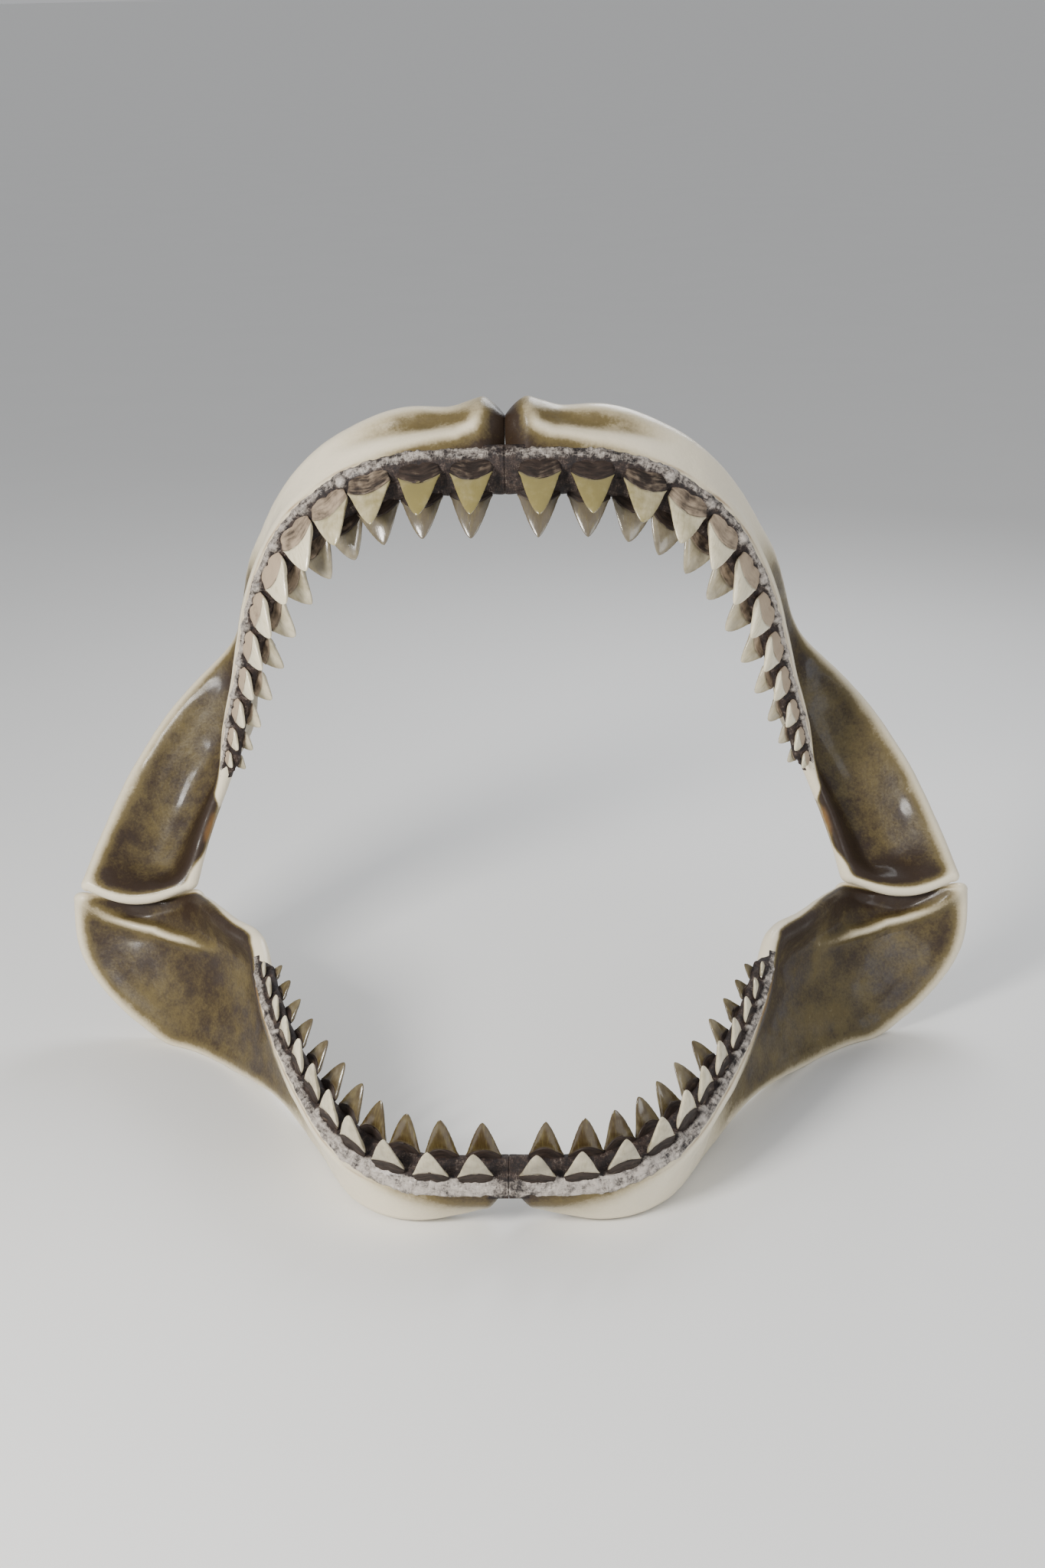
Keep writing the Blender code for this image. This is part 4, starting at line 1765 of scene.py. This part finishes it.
def upper_jaw() -> Jaw:
    """The upper jaw's sizes."""
    half = HalfJaw(
        "upper",
        Pose(slope=70.0, turn=-1),
        (
            Station((0.048, 1.196, -0.218), 0.062, (0.048, 1.240, -0.300), 0.076, 0.067, 0.000),
            Station((0.124, 1.195, -0.218), 0.062, (0.126, 1.219, -0.300), 0.072, 0.065, 0.000),
            Station((0.205, 1.190, -0.218), 0.062, (0.218, 1.221, -0.300), 0.070, 0.064, 0.000),
            Station((0.330, 1.164, -0.217), 0.059, (0.346, 1.184, -0.302), 0.062, 0.058, 0.000),
            Station((0.430, 1.108, -0.215), 0.054, (0.440, 1.126, -0.306), 0.055, 0.051, 0.000),
            Station((0.514, 1.034, -0.213), 0.048, (0.520, 1.040, -0.306), 0.048, 0.044, 0.002),
            Station((0.590, 0.912, -0.208), 0.041, (0.602, 0.890, -0.350), 0.038, 0.032, 0.008),
            Station((0.639, 0.792, -0.204), 0.037, (0.645, 0.795, -0.386), 0.034, 0.025, 0.014),
            Station((0.671, 0.672, -0.200), 0.033, (0.680, 0.680, -0.433), 0.029, 0.018, 0.024),
            Station((0.704, 0.545, -0.197), 0.030, (0.706, 0.572, -0.473), 0.025, 0.015, 0.034),
            Station((0.736, 0.430, -0.195), 0.027, (0.735, 0.490, -0.485), 0.023, 0.013, 0.044),
            Station((0.758, 0.335, -0.192), 0.026, (0.785, 0.420, -0.476), 0.024, 0.013, 0.056),
            Station((0.787, 0.240, -0.170), 0.021, (0.905, 0.322, -0.409), 0.024, 0.013, 0.062),
            Station((0.832, 0.145, -0.110), 0.019, (1.038, 0.176, -0.279), 0.024, 0.013, 0.060),
            Station((0.881, 0.024, -0.012), 0.024, (1.149, 0.021, -0.020), 0.024, 0.022, 0.046),
        ),
        gum_end=1.310,
        gum_angles=(66.0, 47.0),
    )
    teeth = (
        (0.033, 0.098, 0.125), (0.156, 0.099, 0.116), (0.278, 0.105, 0.108),
        (0.392, 0.107, 0.103), (0.512, 0.107, 0.098), (0.642, 0.103, 0.089),
        (0.768, 0.098, 0.079), (0.888, 0.088, 0.069), (0.998, 0.078, 0.056),
        (1.102, 0.068, 0.046), (1.194, 0.058, 0.036), (1.268, 0.044, 0.026),
    )
    return Jaw(
        half,
        ridges=(
            Ridge(End.MIDDLE, ((-0.03, 1.0), (0.0, 1.0)), 0.036, (0.007, 0.007)),
            # A sunken groove under the rim, darkened with stain and painted shade.
            Ridge(
                End.MIDDLE, ((0.085, 0.95), (0.130, 0.80), (0.220, 0.75), (0.340, 0.72)), 0.022,
                (-0.004, -0.009, -0.008, 0.0), brown=0.45,
            ),
            # A raised crest, lightened as a painted highlight.
            Ridge(
                End.MIDDLE, ((0.0, 1.0), (0.02, 0.62), (0.06, 0.38), (0.16, 0.27), (0.33, 0.15)),
                0.018, (0.003, 0.005, 0.005, 0.004, 0.0), painted_highlight=0.75,
            ),
        ),
        hinge_bow=0.035,
        hinge_dish=0.007,
        paint=PaintPlan(
            hinge_border=(-0.010, 0.014), edge_border=(-0.001, -0.055, 0.006), line_off=0.003,
            front_stain=1.0, rim_stain=0.62, edge_rust=1.0,
        ),
        pattern=tuple(ToothPlace(*tooth) for tooth in teeth),
        rows=(
            RowStance(
                (17.0, 29.0), (29.0, 12.0), yellowed=(0.95, -0.08), aged=(0.12, 0.0),
                browned=(-0.2, -0.3), pale_root=(0.05, 0.95), shift=(0.003, 0.013),
            ),
            # The inner row is greyer, in part a painted shade.
            RowStance(
                (32.0, 50.0), (-30.0, -55.0), yellowed=(0.45, 0.15), aged=(1.00, 0.45),
                browned=(0.05, -0.1), pale_root=(-0.2, 0.55), scale=0.88,
            ),
        ),
        point=0.64,
        dip=0.26,
        root_share=0.29,
        banks=((-34.0, 0.020, 24.0),),
        strip=(24.0, 23.0),
        # The border is paler towards the back, in part a painted highlight.
        pale_and_lit_gum=(0.44, 0.66),
    )


def lower_jaw() -> Jaw:
    """The lower jaw's sizes."""
    half = HalfJaw(
        "lower",
        Pose(slope=-22.0, turn=1),
        (
            Station((0.046, 1.084, 0.140), 0.052, (0.046, 1.062, 0.095), 0.044, 0.046, 0.000),
            Station((0.198, 1.078, 0.140), 0.052, (0.196, 1.060, 0.080), 0.062, 0.058, 0.000),
            Station((0.330, 1.020, 0.142), 0.048, (0.320, 0.996, 0.040), 0.060, 0.054, 0.000),
            Station((0.430, 0.908, 0.146), 0.039, (0.410, 0.850, -0.030), 0.047, 0.040, 0.004),
            Station((0.502, 0.780, 0.150), 0.034, (0.477, 0.745, -0.067), 0.037, 0.026, 0.010),
            Station((0.554, 0.665, 0.153), 0.031, (0.568, 0.605, -0.115), 0.029, 0.019, 0.020),
            Station((0.597, 0.540, 0.155), 0.029, (0.670, 0.468, -0.195), 0.027, 0.015, 0.034),
            Station((0.626, 0.430, 0.156), 0.027, (0.762, 0.362, -0.260), 0.026, 0.014, 0.046),
            Station((0.652, 0.335, 0.150), 0.025, (0.860, 0.286, -0.290), 0.026, 0.014, 0.056),
            Station((0.728, 0.222, 0.098), 0.024, (0.970, 0.225, -0.292), 0.026, 0.014, 0.060),
            Station((0.786, 0.130, 0.056), 0.024, (1.122, 0.112, -0.215), 0.025, 0.014, 0.056),
            Station((0.868, -0.010, -0.022), 0.024, (1.176, -0.006, -0.030), 0.023, 0.020, 0.050),
        ),
        gum_end=0.975,
        gum_angles=(72.0, 50.0),
    )
    teeth = (
        (0.024, 0.080, 0.088), (0.120, 0.079, 0.090), (0.214, 0.079, 0.088),
        (0.310, 0.078, 0.085), (0.406, 0.076, 0.080), (0.500, 0.072, 0.073),
        (0.592, 0.067, 0.065), (0.682, 0.062, 0.057), (0.768, 0.056, 0.047),
        (0.846, 0.048, 0.037), (0.915, 0.040, 0.027),
    )
    return Jaw(
        half,
        ridges=(
            # A raised oblique crest, lightened as a painted highlight.
            Ridge(
                End.HINGE,
                ((0.010, 0.97), (0.060, 0.72), (0.115, 0.50), (0.190, 0.36), (0.300, 0.25)),
                0.020, (0.014, 0.026, 0.030, 0.026, 0.0), painted_highlight=0.9,
            ),
        ),
        hinge_bow=0.0,
        hinge_dish=0.034,
        paint=PaintPlan(
            hinge_border=(-0.010, 0.012), edge_border=(-0.012, -0.022, -0.010), line_off=0.005,
            front_stain=0.85, rim_stain=0.0, edge_rust=0.0,
        ),
        pattern=tuple(ToothPlace(*tooth) for tooth in teeth),
        rows=(
            RowStance(
                (-9.0, 12.0), (30.0, 4.0), yellowed=(0.05, 0.25), aged=(0.55, 0.30),
                browned=(-0.3, -0.2), pale_root=(-0.1, 0.10), shift=(-0.004, -0.010),
            ),
            # The inner row is browner, in part a painted shade.
            RowStance(
                (15.0, 45.0), (-30.0, -55.0), yellowed=(0.95, 0.70), aged=(0.30, 0.40),
                browned=(0.85, 0.65), pale_root=(-0.3, 0.10), shift=(0.014, -0.006),
            ),
        ),
        point=0.63,
        dip=0.26,
        root_share=0.24,
        banks=((-34.0, 0.014, 24.0),),
        strip=(46.0, 32.0),
        # The border is paler at the front, in part a painted highlight.
        pale_and_lit_gum=(0.74, 0.52),
    )


# ---------------------------------------------------------------------------------------------
# The studio
# ---------------------------------------------------------------------------------------------


@dataclass
class PhotoCamera:
    """The camera at the photograph's place.

    Attributes:
        down: Degrees that it looks down.
        turned: Degrees that the jaws are turned from square on.
        rolled: Degrees that the picture is turned, anticlockwise.
        hinge_seen: Where the middle of the hinge axis lies, as (right, ahead, up) from it.
        lens: Its lens in millimetres.
        long_side: The width of film along the picture's long side, in millimetres.
        far: How far it sees, in metres.
    """

    down: float = 20.0
    turned: float = -1.6
    rolled: float = 0.7
    hinge_seen: tuple[float, float, float] = (-0.0155, 5.82, -0.282)
    lens: float = 50.0
    long_side: float = 36.0
    far: float = 20000.0

    def build(self, pose: Pose) -> None:
        """Makes the camera and sets it as the scene's.

        Args:
            pose: Where the hinge axis is.
        """
        tilt = Matrix.Rotation(math.radians(self.down), 3, "X")
        yaw = Matrix.Rotation(math.radians(self.turned), 3, "Z")
        back = (yaw @ tilt).transposed()
        hinge = Vector((0.0, pose.hinge_back, pose.hinge_height))
        data = bpy.data.cameras.new("photo_camera")
        data.lens = self.lens
        data.sensor_width = self.long_side
        data.clip_end = self.far
        camera = bpy.data.objects.new("photo_camera", data)
        roll = Matrix.Rotation(math.radians(self.rolled), 3, "Y")
        level = Matrix.Rotation(math.radians(90), 3, "X")
        camera.matrix_world = Matrix.Translation(
            hinge - back @ Vector(self.hinge_seen)
        ) @ (back @ roll @ level).to_4x4()
        bpy.context.scene.collection.objects.link(camera)
        bpy.context.scene.camera = camera


@dataclass(frozen=True)
class Lamp:
    """A soft square lamp.

    Attributes:
        name: Its name.
        place: Where it hangs.
        size: Its side.
        power: Its power in watts.
        colour: Its colour.
    """

    name: str
    place: tuple[float, float, float]
    size: float
    power: float
    colour: Colour

    def build(self, target: Vector) -> None:
        """Hangs the lamp and turns it to the target."""
        data = bpy.data.lights.new(self.name, "AREA")
        data.energy, data.size, data.color = self.power, self.size, self.colour
        lamp = bpy.data.objects.new(self.name, data)
        lamp.location = self.place
        lamp.rotation_euler = (target - Vector(self.place)).to_track_quat("-Z", "Y").to_euler()
        bpy.context.scene.collection.objects.link(lamp)


@dataclass
class Studio:
    """A pale floor under soft lamps.

    Attributes:
        floor_radius: How far the floor reaches, in metres.
        sky: The colour of the light from all round.
        sky_power: Its strength.
        aim: The place that the lamps are turned to.
        lamps: The lamps.
    """

    floor_radius: float = 8000.0
    sky: Colour = (0.83, 0.84, 0.86)
    sky_power: float = 0.58
    aim: tuple[float, float, float] = (0.0, 0.0, 0.8)
    lamps: tuple[Lamp, ...] = (
        Lamp("key_lamp", (-3.0, -4.0, 3.4), 1.6, 430.0, (1.0, 0.97, 0.92)),
        Lamp("fill_lamp", (3.8, -3.2, 2.0), 2.6, 70.0, (0.93, 0.96, 1.0)),
        Lamp("back_lamp", (1.4, 3.6, 3.8), 2.4, 130.0, (0.95, 0.97, 1.0)),
    )

    FLOOR_CORNERS = 96

    def build(self) -> None:
        """Lays the floor, hangs the lamps and sets the sky."""
        turns = np.linspace(0, 2 * np.pi, self.FLOOR_CORNERS, endpoint=False)
        radius = self.floor_radius
        points = [(radius * math.cos(turn), radius * math.sin(turn), 0.0) for turn in turns]
        mesh = bpy.data.meshes.new("floor")
        mesh.from_pydata(points, [], [tuple(range(len(points)))])
        mesh.materials.append(FloorFinish().material())
        floor = bpy.data.objects.new("floor", mesh)
        bpy.context.scene.collection.objects.link(floor)
        for lamp in self.lamps:
            lamp.build(Vector(self.aim))
        world = bpy.data.worlds.new("studio_sky")
        world.use_nodes = True
        sky = world.node_tree.nodes["Background"]
        sky.inputs["Color"].default_value = (*self.sky, 1.0)
        sky.inputs["Strength"].default_value = self.sky_power
        bpy.context.scene.world = world


def main() -> None:
    """Builds the jaws, their finishes and the studio."""
    logging.basicConfig(level=logging.INFO, format="%(name)s %(message)s")
    finishes = {
        "cartilage": CartilageFinish().material(),
        "teeth": EnamelFinish().material(),
        "roots": RootFinish().material(),
        "gum": GumFinish().material(),
    }
    jaws = (upper_jaw(), lower_jaw())
    PhotoCamera().build(jaws[0].half.pose)
    for jaw in jaws:
        jaw.build(finishes)
    Studio().build()


if __name__ == "__main__":
    main()
